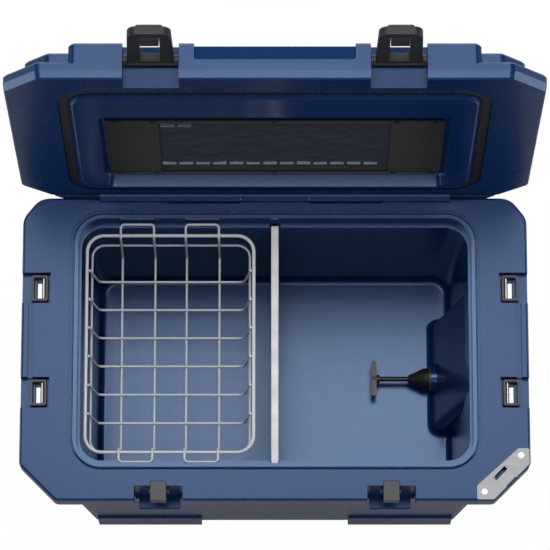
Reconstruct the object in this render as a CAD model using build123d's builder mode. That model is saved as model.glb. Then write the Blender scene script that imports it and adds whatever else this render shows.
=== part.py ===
"""Hard-sided insulated cooler box with its lid standing open.

Frame: +X to the box's right, +Y to its hinge side, +Z up; the origin is the centre of the footprint on the
ground.  The lid and its latches are drawn closed, then turned about their pins to the open rest pose.
Units are millimetres.
"""

import os
from math import radians, sin, sqrt, tan

from build123d import *

# ---------------------------------------------------------------- driving dimensions
RIM_LENGTH = 811.0  # tub rim, along X
RIM_DEPTH = 495.0  # tub rim, along Y
RIM_TOP = 400.0  # rim deck above the ground
RIM_BAND = 36.0  # height of the overhanging rim band
RIM_ROUND = 4.0  # rounding of the rim band's outer edges
FRONT_CHAMFER = 58.0  # plan chamfer of the front corners
REAR_CHAMFER = 34.0  # plan chamfer of the rear corners
RIM_REAR_ROUND = 32.0
SHELL_WALL = 4.0
LINER_WALL = 3.0
SEAT = 0.15  # gap between fixed pieces that bear on each other
FOAM_GAP = 0.3  # gap between the foam and the skins

BASE_Z = 10.0  # underside of the tub
BODY_TOP_INSET = 36.0  # rim end to tub wall under the band
BODY_BASE_INSET = 48.0  # rim end to tub wall at the base
BODY_TOP_FRONT = 15.0  # rim front to tub wall under the band
BODY_BASE_FRONT = 36.0
BODY_TOP_REAR = 8.0
BODY_BASE_REAR = 24.0
RUNNER_PROUD = 8.0  # foot blocks moulded at front and rear
RUNNER_INNER = 123.0
RUNNER_OUTER = 296.0
RUNNER_RISE = 62.0
FOOT_RADIUS = 24.0
FOOT_X = 250.0
FOOT_Y = 165.0

MOUTH_LENGTH = 631.0  # opening at the rim
MOUTH_DEPTH = 400.5
FRONT_LAND = 60.0  # rim front to the opening
LIP_WIDTH = 8.5  # raised sealing lip around the opening
LIP_RISE = 3.0
LIP_GROOVE = 4.5  # shallow groove in the rim outside the lip
LIP_GROOVE_DEPTH = 2.5
LEDGE_DROP = 25.0  # rim to the basket ledge
LEDGE_X = 4.0
LEDGE_Y = 9.0
FLOOR_Z = 70.0
FLOOR_INSET_X = 18.0  # wall draft from ledge to floor
FLOOR_INSET_Y = 12.5
MOUTH_CORNER = 40.0
FLOOR_CORNER = 29.0
FLOOR_FILLET = 9.0
BULGE_PROUD = 31.5  # drain housing moulded in the liner
BULGE_FRONT_LAND = 92.5  # floor front to the drain housing
BULGE_REAR_LAND = 77.0
BULGE_TOP = 340.0
BULGE_FILLET = 14.0

LID_SIDE_OVERHANG = 1.5  # lid ends beyond the rim ends
LID_FRONT_OVERHANG = 2.0  # lid front ahead of the rim front
LID_REAR_OVERHANG = 23.0  # lid rear behind the hinge pin
LID_GAP = 1.0  # rim to lid underside
LID_SLAB = 28.0  # height of the lid's outer slab
LID_EDGE = 46.0  # height of the shoulder that stands on it
DECK_RISE = 12.0  # raised centre deck, flush with the slab's front
LID_TUCK = 2.0  # draft of the slab's lower half
LID_ROUND = 3.0  # rounding of the lid's lower edge
LID_BEVEL = 4.0  # bevel of the slab, shoulder and deck edges
SHOULDER_IN = 33.0  # slab end to the shoulder
SHOULDER_BACK = 10.0  # slab front and rear to the shoulder
SHOULDER_FRONT_CHAMFER = 35.0
SHOULDER_REAR_CHAMFER = 50.0
DECK_SIDE = 100.0  # lid end to the deck
DECK_BACK = 14.0  # slab rear to the deck
DECK_FRONT_CHAMFER = 7.0
DECK_REAR_CHAMFER = 24.0
LID_FRONT_CHAMFER = 54.0
LID_REAR_CHAMFER = 68.0
LID_OPEN = 95.2  # degrees from closed to the open stop
GRIP_HALF = 120.0  # finger recess in the lid front
GRIP_HEIGHT = 27.0
GRIP_DEPTH = 16.0  # at the deck's top
GRIP_LOW_DEPTH = 9.0
GRIP_ROUND = 4.0

HINGE_BEHIND_RIM = 3.0
HINGE_RADIUS = 11.0
HINGE_PIN_RADIUS = 4.0
HINGE_CLEAR = 1.5  # clearance around each knuckle
KNUCKLE_WIDTH = 110.0
KNUCKLE_PITCH = 227.0
KNUCKLE_GAP = 0.5
PIN_CAP_RADIUS = 7.0
PIN_CAP_DEPTH = 4.0
FIXED_BORE = 0.05  # radial clearance of a pin in the body that holds it
RUNNING_BORE = 0.08  # radial clearance of a pin in the body that turns on it

GASKET_WIDTH = 15.4
GASKET_HEIGHT = 6.5
GASKET_SIDE_GAP = 0.3  # gasket to the channel wall
CHANNEL_WALL = 4.0
PANEL_SHELF = 3.0  # shelf of the lid shell over the edge of the lid liner
PANEL_PROUD = 4.5  # lid liner panel below the lid's rim
PANEL_BEVEL = 3.0
POCKET_SIDE_LAND = 37.75  # lid liner edge to the pocket recess
POCKET_REAR_LAND = 8.25
POCKET_FRONT_LAND = 75.75
POCKET_DEPTH = 16.0
POCKET_DRAFT = 10.0  # degrees

FABRIC_SIDE_GAP = 8.0  # recess edge to the fabric
FABRIC_REAR_GAP = 12.0
FABRIC_FRONT_GAP = 58.0
FABRIC_THICK = 2.5
END_PANEL = 82.0  # width of each fabric end panel
MESH_THICK = 1.0
BINDING = 12.0
RIVET_RADIUS = 4.0

LATCH_X = 184.5
LATCH_WIDTH = 70.0
LATCH_TAIL = 13.0  # window to the free end
LATCH_THICK = 14.0
LATCH_OPEN = 94.0  # degrees from closed to the open stop
LATCH_PIVOT_UP = 34.0
LATCH_PIVOT_IN = 12.0
LATCH_BARREL = 8.5
LATCH_SIDE_GAP = 1.0  # barrel end to the notch wall
LATCH_LIP_HALF = 25.0  # grip lip on the free end
LATCH_LIP_RADIUS = 5.0
LATCH_PIN_RADIUS = 3.0
NOTCH_HALF = 42.0
NOTCH_TOP_DEPTH = 19.0
NOTCH_LOW_DEPTH = 38.0
WINDOW_WIDTH = 30.0
WINDOW_NEAR = 12.0
WINDOW_BEYOND_PIN = 8.0
PAWL_UNDER_TONGUE = 1.5  # tongue to the pawl's hooking edge on the closed latch
PAWL_PIN_BELOW = 21.5  # hooking edge to the pawl's cross pin
PAWL_PIN_RADIUS = 2.0

KEEPER_HALF = 38.5
KEEPER_DEPTH = 24.5
GUARD_GAP = 18.0  # closed latch to the guard bar below it
TONGUE_WIDTH = 25.0
TONGUE_THICK = 20.0
TONGUE_ROOT = 7.5  # tongue let into the recess wall
KEEPER_PLATE = 3.0
TONGUE_ROUND = 2.0
KEEPER_SCREW_Z = 352.0
GUARD_HALF = 33.0
GUARD_PROUD = 18.0
GUARD_THICK = 10.0
GUARD_ROUND = 3.0

ANCHOR_YS = (-80.0, 91.0)
ANCHOR_INNER_GAP = 4.0  # frame to the inner wall of its pocket
ANCHOR_END_GAP = 3.5
ANCHOR_SUNK = 2.0  # frame below the rim
ANCHOR_FRAME_X = 27.0
ANCHOR_FRAME_Y = 43.0
ANCHOR_FRAME_Z = 13.0
ANCHOR_EDGE = 15.0  # rim end to the frame
ANCHOR_BORDER = 4.5
ANCHOR_BAR_RADIUS = 2.5
ANCHOR_BAR_GAP = 0.5  # bar to the frame's inner side and to the slot
ANCHOR_SLOT_X = 8.0
ANCHOR_SLOT_Y = 30.0
GROOVE_WIDTH = 8.5
GROOVE_DEPTH = 10.0
GROOVE_EDGE = 15.0  # rim end to the groove centre
SIDE_GRIP_HALF = 60.0
SIDE_GRIP_RISE = 12.0
SIDE_GRIP_WIDTH = 22.0

OPENER_THICK = 2.0
OPENER_WELL = (30.0, 22.0)  # cap well under the plate, along and across its slots
OPENER_WELL_AT = 3.5  # well centre from the ring centre, across the slots
OPENER_WELL_DEPTH = 16.0
OPENER_TURN = 46.2  # degrees the opener's slots are turned from X
OPENER_SLOTS = ((-2.0, 10.3, 26.0, 7.0), (0.0, -11.9, 22.0, 3.0))  # along, across, length, width
OPENER_RING = 18.0  # embossed ring around the slots
OPENER_IN = 39.8  # rim end to the ring centre
OPENER_BACK = 38.3  # rim front to the ring centre
OPENER_HEAD = 5.5  # screw head radius
OPENER_CROSS = 7.0  # driver recess in the screw heads
OPENER_SCREW_STEPS = ((24.3, 34.7), (-34.2, -23.8))  # from the ring centre

DRAIN_Z = 97.0
DRAIN_FORWARD = 7.1  # housing centre to the drain
DRAIN_BORE = 9.0
DRAIN_TUBE = 12.0
DRAIN_FLANGE = 21.0
DRAIN_FLANGE_THICK = 3.5
DRAIN_SPOUT = 20.0
DRAIN_BOSS = 25.0
STOPPER_RADIUS = 18.0
STOPPER_CONE = 26.0
STOPPER_SPIGOT = 16.0
PULL_ROD_RADIUS = 4.0
PULL_ROD_LENGTH = 62.0
T_BAR_LENGTH = 60.0
T_BAR_WIDTH = 9.0
T_HUB_LENGTH = 14.0

WIRE = 1.9  # basket wire radius
RING_WIRE = 2.75
WELD_GAP = 0.1
BASKET_SIDE_GAP = 12.5  # mouth to the top ring
BASKET_FRONT_GAP = 23.0
BASKET_BACK_GAP = 21.5
BASKET_RIGHT = -34.0
BASKET_CORNER = 27.0
BASKET_DEPTH = 77.5
BASKET_SLANT = 11.2
BASKET_BEND = 10.0
CROSS_COUNT = 6
CROSS_FRONT_GAP = 62.5  # top ring to the first and last cross wires
CROSS_BACK_GAP = 58.5
HOOK_STEPS = ((54.0, 107.7), (159.0, 212.6))  # wires of each hook pair, from the ring's left side
HOOK_REACH = 18.5

HOOK_NOTCH_WIDTH = 58.0  # shallow notch in the rear wall over each pair of hooks
HOOK_NOTCH_RISE = 17.0
HOOK_NOTCH_DEPTH = 2.0

DIVIDER_THICK = 12.0
DIVIDER_SIDE_GAP = 3.0  # divider to its slot walls
DIVIDER_SLOT_DEPTH = 8.0
DIVIDER_DROP = 26.0

# ---------------------------------------------------------------- derived places
RIM_FRONT = -255.0
RIM_BACK = RIM_FRONT + RIM_DEPTH
RIM_HALF = RIM_LENGTH / 2
BAND_Z = RIM_TOP - RIM_BAND
LEDGE_Z = RIM_TOP - LEDGE_DROP
LIP_Z = RIM_TOP + LIP_RISE
MOUTH_HALF = MOUTH_LENGTH / 2
MOUTH_FRONT = RIM_FRONT + FRONT_LAND
MOUTH_BACK = MOUTH_FRONT + MOUTH_DEPTH
DIVIDER_SLOT = DIVIDER_THICK + 2 * DIVIDER_SIDE_GAP
FLOOR_HALF = MOUTH_HALF - LEDGE_X - FLOOR_INSET_X
FLOOR_FRONT = MOUTH_FRONT + LEDGE_Y + FLOOR_INSET_Y
FLOOR_BACK = MOUTH_BACK - LEDGE_Y - FLOOR_INSET_Y

BULGE_Y = (FLOOR_FRONT + BULGE_FRONT_LAND + FLOOR_BACK - BULGE_REAR_LAND) / 2
BULGE_WIDTH = FLOOR_BACK - FLOOR_FRONT - BULGE_FRONT_LAND - BULGE_REAR_LAND
DRAIN_Y = BULGE_Y - DRAIN_FORWARD

HINGE_Y = RIM_BACK + HINGE_BEHIND_RIM
HINGE_Z = RIM_TOP
HINGE_SWEEP = HINGE_RADIUS + HINGE_CLEAR
LID_HALF = RIM_HALF + LID_SIDE_OVERHANG
LID_Z = RIM_TOP + LID_GAP
DECK_HALF = LID_HALF - DECK_SIDE
LID_FRONT = RIM_FRONT - LID_FRONT_OVERHANG
LID_BACK = HINGE_Y + LID_REAR_OVERHANG
LID_EDGE_Z = LID_Z + LID_EDGE
LID_TOP = LID_EDGE_Z + DECK_RISE
SLAB_MIDDLE = LID_Z + LID_SLAB / 2
PIVOT_Y = LID_FRONT + LATCH_PIVOT_IN
PIVOT_Z = LID_Z + LATCH_PIVOT_UP
PAWL_NEAR = PIVOT_Z - RIM_TOP + TONGUE_THICK + PAWL_UNDER_TONGUE
PAWL_PIN_AT = PAWL_NEAR + PAWL_PIN_BELOW
WINDOW_FAR = PAWL_PIN_AT + WINDOW_BEYOND_PIN
LATCH_LENGTH = WINDOW_FAR + LATCH_TAIL
KEEPER_DROP = LATCH_LENGTH + RIM_TOP - PIVOT_Z + GUARD_GAP

CHANNEL_X = MOUTH_HALF + LIP_WIDTH / 2
CHANNEL_FRONT = MOUTH_FRONT - LIP_WIDTH / 2
CHANNEL_BACK = MOUTH_BACK + LIP_WIDTH / 2
CHANNEL_IN = GASKET_WIDTH / 2 + GASKET_SIDE_GAP
CHANNEL_TOP = LIP_Z + 0.3 + GASKET_HEIGHT + SEAT
PANEL_IN = CHANNEL_IN + CHANNEL_WALL  # channel centre to the lid liner edge
POCKET_HALF = CHANNEL_X - PANEL_IN - POCKET_SIDE_LAND
POCKET_REAR = CHANNEL_BACK - PANEL_IN - POCKET_REAR_LAND
POCKET_FRONT = CHANNEL_FRONT + PANEL_IN + POCKET_FRONT_LAND
FABRIC_HALF = POCKET_HALF - FABRIC_SIDE_GAP
FABRIC_REAR = POCKET_REAR - FABRIC_REAR_GAP
FABRIC_FRONT = POCKET_FRONT + FABRIC_FRONT_GAP
MESH_HALF = FABRIC_HALF - END_PANEL

KEEPER_Y = RIM_FRONT + KEEPER_DEPTH
ANCHOR_POCKET_X = ANCHOR_EDGE + ANCHOR_FRAME_X + ANCHOR_INNER_GAP
ANCHOR_POCKET_Y = ANCHOR_FRAME_Y + 2 * ANCHOR_END_GAP
ANCHOR_POCKET_DEPTH = ANCHOR_FRAME_Z + ANCHOR_SUNK
ANCHOR_BAR_X = RIM_HALF - ANCHOR_EDGE - ANCHOR_FRAME_X + ANCHOR_BORDER + ANCHOR_BAR_GAP + ANCHOR_BAR_RADIUS
ANCHOR_SLOT_AT = ANCHOR_BAR_X + ANCHOR_BAR_RADIUS + ANCHOR_BAR_GAP + ANCHOR_SLOT_X / 2
OPENER_X = RIM_HALF - OPENER_IN
OPENER_Y = RIM_FRONT + OPENER_BACK
OPENER_SCREWS = [(OPENER_X + right, OPENER_Y + back) for right, back in OPENER_SCREW_STEPS]
DRAIN_SEAT_X = FLOOR_HALF - BULGE_PROUD
DRAIN_OUT_X = RIM_HALF - BODY_BASE_INSET + 6
BASKET_LEFT = BASKET_SIDE_GAP - MOUTH_HALF
BASKET_FRONT = MOUTH_FRONT + BASKET_FRONT_GAP
BASKET_BACK = MOUTH_BACK - BASKET_BACK_GAP
CROSS_FIRST = BASKET_FRONT + CROSS_FRONT_GAP
CROSS_PITCH = (BASKET_BACK - CROSS_BACK_GAP - CROSS_FIRST) / (CROSS_COUNT - 1)
HOOK_PAIRS = [(BASKET_LEFT + near, BASKET_LEFT + far) for near, far in HOOK_STEPS]
RING_Z = LEDGE_Z + 0.4 - RING_WIRE - WELD_GAP
HOOK_Z = LEDGE_Z + 0.4 + WIRE
CROSS_Z = RING_Z - BASKET_DEPTH
LONG_Z = CROSS_Z - 2 * WIRE - WELD_GAP
HINGE_AXIS = Axis((0, HINGE_Y, HINGE_Z), (1, 0, 0))
LATCH_AXIS = Axis((0, PIVOT_Y, PIVOT_Z), (1, 0, 0))
KNUCKLES = (-KNUCKLE_PITCH, 0.0, KNUCKLE_PITCH)
HALF_KNUCKLE = KNUCKLE_WIDTH / 2
PIN_END = KNUCKLE_PITCH + HALF_KNUCKLE - PIN_CAP_DEPTH - SEAT
LID_BARRELS = (
    (-KNUCKLE_PITCH + HALF_KNUCKLE + KNUCKLE_GAP, -HALF_KNUCKLE - KNUCKLE_GAP),
    (HALF_KNUCKLE + KNUCKLE_GAP, KNUCKLE_PITCH - HALF_KNUCKLE - KNUCKLE_GAP),
)

os.makedirs("parts", exist_ok=True)


# ---------------------------------------------------------------- writing and drawing helpers
def save(shape, name):
    """Writes one finished sub-part under its node name."""
    shape.label = name
    export_step(shape, f"parts/{name}.step")


def save_lid(shape, name):
    """Opens a piece drawn on the closed lid, then writes it."""
    save(shape.rotate(HINGE_AXIS, -LID_OPEN), name)


def save_latch(shape, name):
    """Swings a piece drawn on the closed latch to its open stop, then opens it with the lid."""
    save_lid(shape.rotate(LATCH_AXIS, -LATCH_OPEN), name)


def cut_corner_plan(half_x, front, back, front_cut, rear_cut, radius, rear_radius=None):
    """Plan outline with four cut corners, rounded; a cut is its (x, y) size."""
    with BuildSketch() as plan:
        Polygon(
            (-half_x, front + front_cut[1]),
            (-half_x + front_cut[0], front),
            (half_x - front_cut[0], front),
            (half_x, front + front_cut[1]),
            (half_x, back - rear_cut[1]),
            (half_x - rear_cut[0], back),
            (-half_x + rear_cut[0], back),
            (-half_x, back - rear_cut[1]),
            align=None,
        )
        fillet(plan.vertices().sort_by(Axis.Y)[4:], rear_radius or radius)
        fillet(plan.vertices().sort_by(Axis.Y)[:4], radius)
    return plan.sketch


def round_plan(half_x, front, back, radius):
    """Plan rectangle with round corners."""
    with BuildSketch() as plan:
        with Locations((0, (front + back) / 2)):
            RectangleRounded(2 * half_x, back - front, radius)
    return plan.sketch


def block(x0, x1, y0, y1, z0, z1, mode=Mode.ADD):
    """Box between two corners."""
    with Locations(((x0 + x1) / 2, (y0 + y1) / 2, (z0 + z1) / 2)):
        Box(x1 - x0, y1 - y0, z1 - z0, mode=mode)


def rod_x(radius, x0, x1, y, z, mode=Mode.ADD):
    """Cylinder along X."""
    with Locations(Location(((x0 + x1) / 2, y, z), (0, 90, 0))):
        Cylinder(radius, x1 - x0, mode=mode)


def rod_y(radius, y0, y1, x, z, mode=Mode.ADD):
    """Cylinder along Y."""
    with Locations(Location((x, (y0 + y1) / 2, z), (90, 0, 0))):
        Cylinder(radius, y1 - y0, mode=mode)


def rod_z(radius, z0, z1, x, y, mode=Mode.ADD):
    """Cylinder along Z."""
    with Locations((x, y, (z0 + z1) / 2)):
        Cylinder(radius, z1 - z0, mode=mode)


def wedge_x(points, x0, x1):
    """Prism along X over a (y, z) outline."""
    with BuildPart() as prism:
        with BuildSketch(Plane.YZ.offset(x0)):
            Polygon(*points, align=None)
        extrude(amount=x1 - x0)
    return prism.part


def wedge_y(points, y0, y1):
    """Prism along Y over an (x, z) outline."""
    with BuildPart() as prism:
        with BuildSketch(Plane.XZ.offset(-y1)):
            Polygon(*points, align=None)
        extrude(amount=y1 - y0)
    return prism.part


def bent_wire(points, radius, bend, closed=False):
    """Round wire along straight runs joined by bends."""
    spots = [Vector(*p) for p in points]
    count = len(spots)
    turns = range(count) if closed else range(1, count - 1)
    arcs = {}
    for i in turns:
        before = (spots[i - 1] - spots[i]).normalized()
        after = (spots[(i + 1) % count] - spots[i]).normalized()
        half = before.get_angle(after) / 2
        reach = bend / tan(radians(half))
        middle = spots[i] + (before + after).normalized() * (bend / sin(radians(half)) - bend)
        arcs[i] = (spots[i] + before * reach, middle, spots[i] + after * reach)
    with BuildPart() as wire:
        with BuildLine() as path:
            for i in range(count if closed else count - 1):
                start = arcs[i][2] if i in arcs else spots[i]
                j = (i + 1) % count
                end = arcs[j][0] if j in arcs else spots[j]
                Line(start, end)
                if j in arcs:
                    ThreePointArc(*arcs[j])
        first = path.edges()[0]
        with BuildSketch(Plane(origin=first @ 0, z_dir=first % 0)):
            Circle(radius)
        sweep(path=path.line)
    return wire.part


# ---------------------------------------------------------------- tub forms
def tub_form(inset):
    """Outside of the tub pulled in by inset: drafted body, foot blocks and rim band."""
    front_cut = (FRONT_CHAMFER, FRONT_CHAMFER)
    rear_cut = (REAR_CHAMFER * 0.8, REAR_CHAMFER)
    base_front = RIM_FRONT + BODY_BASE_FRONT
    base_back = RIM_BACK - BODY_BASE_REAR
    with BuildPart() as form:
        with BuildSketch(Plane.XY.offset(BASE_Z + inset)):
            add(cut_corner_plan(RIM_HALF - BODY_BASE_INSET - inset, base_front + inset, base_back - inset,
                                front_cut, rear_cut, 10))
        with BuildSketch(Plane.XY.offset(BAND_Z + inset + 1)):
            add(cut_corner_plan(RIM_HALF - BODY_TOP_INSET - inset, RIM_FRONT + BODY_TOP_FRONT + inset,
                                RIM_BACK - BODY_TOP_REAR - inset, front_cut, rear_cut, 10))
        loft()
        with BuildSketch(Plane.XY.offset(BAND_Z + inset)):
            add(cut_corner_plan(RIM_HALF - inset, RIM_FRONT + inset, RIM_BACK - inset, front_cut, rear_cut, 12,
                                RIM_REAR_ROUND))
        extrude(amount=RIM_BAND - 2 * inset)
        if inset == 0:
            fillet(form.faces().sort_by(Axis.Z)[-1].edges(), RIM_ROUND)
        for side in (-1, 1):
            x0, x1 = sorted((side * RUNNER_INNER, side * RUNNER_OUTER))
            block(x0 + inset, x1 - inset, base_front - RUNNER_PROUD + inset, base_back + RUNNER_PROUD - inset,
                  BASE_Z + inset, BASE_Z + RUNNER_RISE - inset)
    return form.part


def tub_cuts(grow):
    """Recesses in the tub, grown by grow: keepers, anchors, strap grooves, hand grips, hinge sweep, opener."""
    with BuildPart() as cuts:
        for side in (-1, 1):
            x = side * LATCH_X
            block(x - KEEPER_HALF - grow, x + KEEPER_HALF + grow, RIM_FRONT - 9, KEEPER_Y + grow,
                  RIM_TOP - KEEPER_DROP - grow, RIM_TOP + 9)
            block(x - TONGUE_WIDTH / 2 - SEAT - grow, x + TONGUE_WIDTH / 2 + SEAT + grow, KEEPER_Y - 1,
                  KEEPER_Y + TONGUE_ROOT + SEAT + grow, RIM_TOP - TONGUE_THICK - SEAT - grow, RIM_TOP + 9)
            outer = side * (RIM_HALF + 9)
            pocket = side * (RIM_HALF - ANCHOR_POCKET_X - grow)
            slot = side * ANCHOR_SLOT_AT
            for y in ANCHOR_YS:
                block(min(outer, pocket), max(outer, pocket), y - ANCHOR_POCKET_Y / 2 - grow,
                      y + ANCHOR_POCKET_Y / 2 + grow, RIM_TOP - ANCHOR_POCKET_DEPTH - grow, RIM_TOP + 9)
                block(slot - ANCHOR_SLOT_X / 2 - grow, slot + ANCHOR_SLOT_X / 2 + grow,
                      y - ANCHOR_SLOT_Y / 2 - grow, y + ANCHOR_SLOT_Y / 2 + grow, BAND_Z - 9, RIM_TOP)
            groove = side * (RIM_HALF - GROOVE_EDGE)
            block(groove - GROOVE_WIDTH / 2 - grow, groove + GROOVE_WIDTH / 2 + grow, ANCHOR_YS[0],
                  ANCHOR_YS[1], RIM_TOP - GROOVE_DEPTH - grow, RIM_TOP + 9)
            grip_in = side * (RIM_HALF - BODY_TOP_INSET + 4 - grow)
            grip_out = side * (RIM_HALF - BODY_TOP_INSET + 4 + SIDE_GRIP_WIDTH + grow)
            middle = sum(ANCHOR_YS) / 2
            block(min(grip_in, grip_out), max(grip_in, grip_out), middle - SIDE_GRIP_HALF - grow,
                  middle + SIDE_GRIP_HALF + grow, BAND_Z - 9, BAND_Z + SIDE_GRIP_RISE + grow)
        for x0, x1 in LID_BARRELS:
            rod_x(HINGE_SWEEP + grow, x0 - KNUCKLE_GAP - grow, x1 + KNUCKLE_GAP + grow, HINGE_Y, HINGE_Z)
        with BuildSketch(Plane.XY.offset(RIM_TOP - OPENER_WELL_DEPTH - grow)):
            with Locations(Location((OPENER_X, OPENER_Y), OPENER_TURN)):
                with Locations((0, OPENER_WELL_AT)):
                    Rectangle(OPENER_WELL[0] + 2 * grow, OPENER_WELL[1] + 2 * grow)
        extrude(amount=OPENER_WELL_DEPTH + grow + 9)
        with BuildSketch(Plane.XY.offset(RIM_TOP - LIP_GROOVE_DEPTH - grow)):
            add(lip_plan(LIP_GROOVE + grow))
            if grow == 0:
                add(lip_plan(SEAT), mode=Mode.SUBTRACT)
        extrude(amount=LIP_GROOVE_DEPTH + grow + 9)
    return cuts.part


def bulge_form(grow):
    """Tapered drain housing standing in from the right-hand liner wall."""
    slope = (MOUTH_HALF - LEDGE_X - DRAIN_SEAT_X) / (BULGE_TOP - FLOOR_Z)
    low = FLOOR_Z - 20
    high = BULGE_TOP + 20
    with BuildPart() as bulge:
        add(wedge_y(
            (
                (DRAIN_SEAT_X - 20 * slope - grow, low),
                (DRAIN_SEAT_X + (high - FLOOR_Z) * slope - grow, high),
                (MOUTH_HALF + 60, high),
                (MOUTH_HALF + 60, low),
            ),
            BULGE_Y - BULGE_WIDTH / 2 - grow,
            BULGE_Y + BULGE_WIDTH / 2 + grow,
        ))
        nose = bulge.faces().sort_by(Axis.X)[0]
        fillet(nose.edges().filter_by(Axis.Y, reverse=True), BULGE_FILLET)
    return bulge.part


def mouth_form(grow):
    """Inside of the tub grown by grow: mouth, drafted well, divider slots, drain bulge and drain boss."""
    floor = FLOOR_Z - grow
    slot = DIVIDER_SLOT / 2 + grow
    with BuildPart() as form:
        with BuildSketch(Plane.XY.offset(floor)):
            add(round_plan(FLOOR_HALF + grow, FLOOR_FRONT - grow, FLOOR_BACK + grow, FLOOR_CORNER))
        with BuildSketch(Plane.XY.offset(LEDGE_Z)):
            add(round_plan(MOUTH_HALF - LEDGE_X + grow, MOUTH_FRONT + LEDGE_Y - grow,
                           MOUTH_BACK - LEDGE_Y + grow, MOUTH_CORNER - LEDGE_X))
        loft()
        add(bulge_form(-grow), mode=Mode.SUBTRACT)
        if grow == 0:
            fillet(form.faces().sort_by(Axis.Z)[0].edges(), FLOOR_FILLET)
        with BuildSketch(Plane.XY.offset(LEDGE_Z - grow)):
            add(round_plan(MOUTH_HALF + grow, MOUTH_FRONT - grow, MOUTH_BACK + grow, MOUTH_CORNER))
        extrude(amount=LIP_Z + 5 - LEDGE_Z + grow)
        for pair in HOOK_PAIRS:
            reach = HOOK_NOTCH_WIDTH / 2 + grow
            block(sum(pair) / 2 - reach, sum(pair) / 2 + reach, MOUTH_BACK - 9,
                  MOUTH_BACK + HOOK_NOTCH_DEPTH + grow, LEDGE_Z - grow, LEDGE_Z + HOOK_NOTCH_RISE + grow)
        add(wedge_x(
            (
                (MOUTH_FRONT + LEDGE_Y - DIVIDER_SLOT_DEPTH - grow, RIM_TOP),
                (MOUTH_FRONT + LEDGE_Y - DIVIDER_SLOT_DEPTH - grow, LEDGE_Z),
                (FLOOR_FRONT - DIVIDER_SLOT_DEPTH - grow, floor),
                (FLOOR_BACK + DIVIDER_SLOT_DEPTH + grow, floor),
                (MOUTH_BACK - LEDGE_Y + DIVIDER_SLOT_DEPTH + grow, LEDGE_Z),
                (MOUTH_BACK - LEDGE_Y + DIVIDER_SLOT_DEPTH + grow, RIM_TOP),
            ),
            -slot,
            slot,
        ))
        rod_x(DRAIN_BOSS - grow, DRAIN_SEAT_X + grow, FLOOR_HALF + 40, DRAIN_Y, DRAIN_Z, mode=Mode.SUBTRACT)
    return form.part


# ---------------------------------------------------------------- tub: shell, liner, foam
def lip_plan(grow):
    """Plan of the liner's sealing lip, grown by grow."""
    return round_plan(MOUTH_HALF + LIP_WIDTH + grow, MOUTH_FRONT - LIP_WIDTH - grow,
                      MOUTH_BACK + LIP_WIDTH + grow, MOUTH_CORNER + LIP_WIDTH + grow)


def foot_spots():
    """Plan places of the four feet, by name."""
    return {
        "front_left": (-FOOT_X, -FOOT_Y),
        "front_right": (FOOT_X, -FOOT_Y),
        "rear_left": (-FOOT_X, FOOT_Y),
        "rear_right": (FOOT_X, FOOT_Y),
    }


def opener_plan(grow):
    """Plan of the bottle opener plate on the front right rim corner."""
    edge = 2.2
    cut = FRONT_CHAMFER - edge * 0.6
    right = RIM_HALF - edge
    front = RIM_FRONT + edge
    with BuildSketch() as plan:
        Polygon(
            (right, front + cut),
            (right, OPENER_Y + 46),
            (right - 17, OPENER_Y + 46),
            (OPENER_X - 46, OPENER_Y - 14),
            (OPENER_X - 46, front),
            (right - cut, front),
            align=None,
        )
        fillet(plan.vertices(), 3)
        if grow:
            offset(amount=grow)
    return plan.sketch


def guard_bar(x):
    """Bar that stands out of the tub's front under a keeper."""
    low = RIM_TOP - KEEPER_DROP - GUARD_THICK
    with BuildPart() as guard:
        block(x - GUARD_HALF, x + GUARD_HALF, KEEPER_Y - GUARD_PROUD - 6, KEEPER_Y + 4, low, low + GUARD_THICK)
        fillet(guard.faces().sort_by(Axis.Y)[0].edges(), GUARD_ROUND)
    return guard.part


with BuildPart() as tub_liner:
    add(mouth_form(LINER_WALL))
    with BuildSketch(Plane.XY.offset(RIM_TOP - 2)):
        add(lip_plan(0))
    extrude(amount=LIP_RISE + 2)
    block(-500, 500, -500, 500, LIP_Z, LIP_Z + 50, mode=Mode.SUBTRACT)
    fillet(tub_liner.faces().sort_by(Axis.Z)[-1].edges(), LIP_RISE - 0.3)
    add(mouth_form(0), mode=Mode.SUBTRACT)
    rod_x(DRAIN_TUBE + SEAT, 0, RIM_HALF, DRAIN_Y, DRAIN_Z, mode=Mode.SUBTRACT)
save(tub_liner.part, "tub_liner")

with BuildPart() as shell_core:
    add(tub_form(SHELL_WALL))
    add(tub_cuts(SHELL_WALL), mode=Mode.SUBTRACT)
    for spot in foot_spots().values():
        rod_z(12, 0, BASE_Z + 24, *spot, mode=Mode.SUBTRACT)
    rod_x(DRAIN_BOSS, DRAIN_OUT_X - 8, RIM_HALF, DRAIN_Y, DRAIN_Z, mode=Mode.SUBTRACT)

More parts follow.
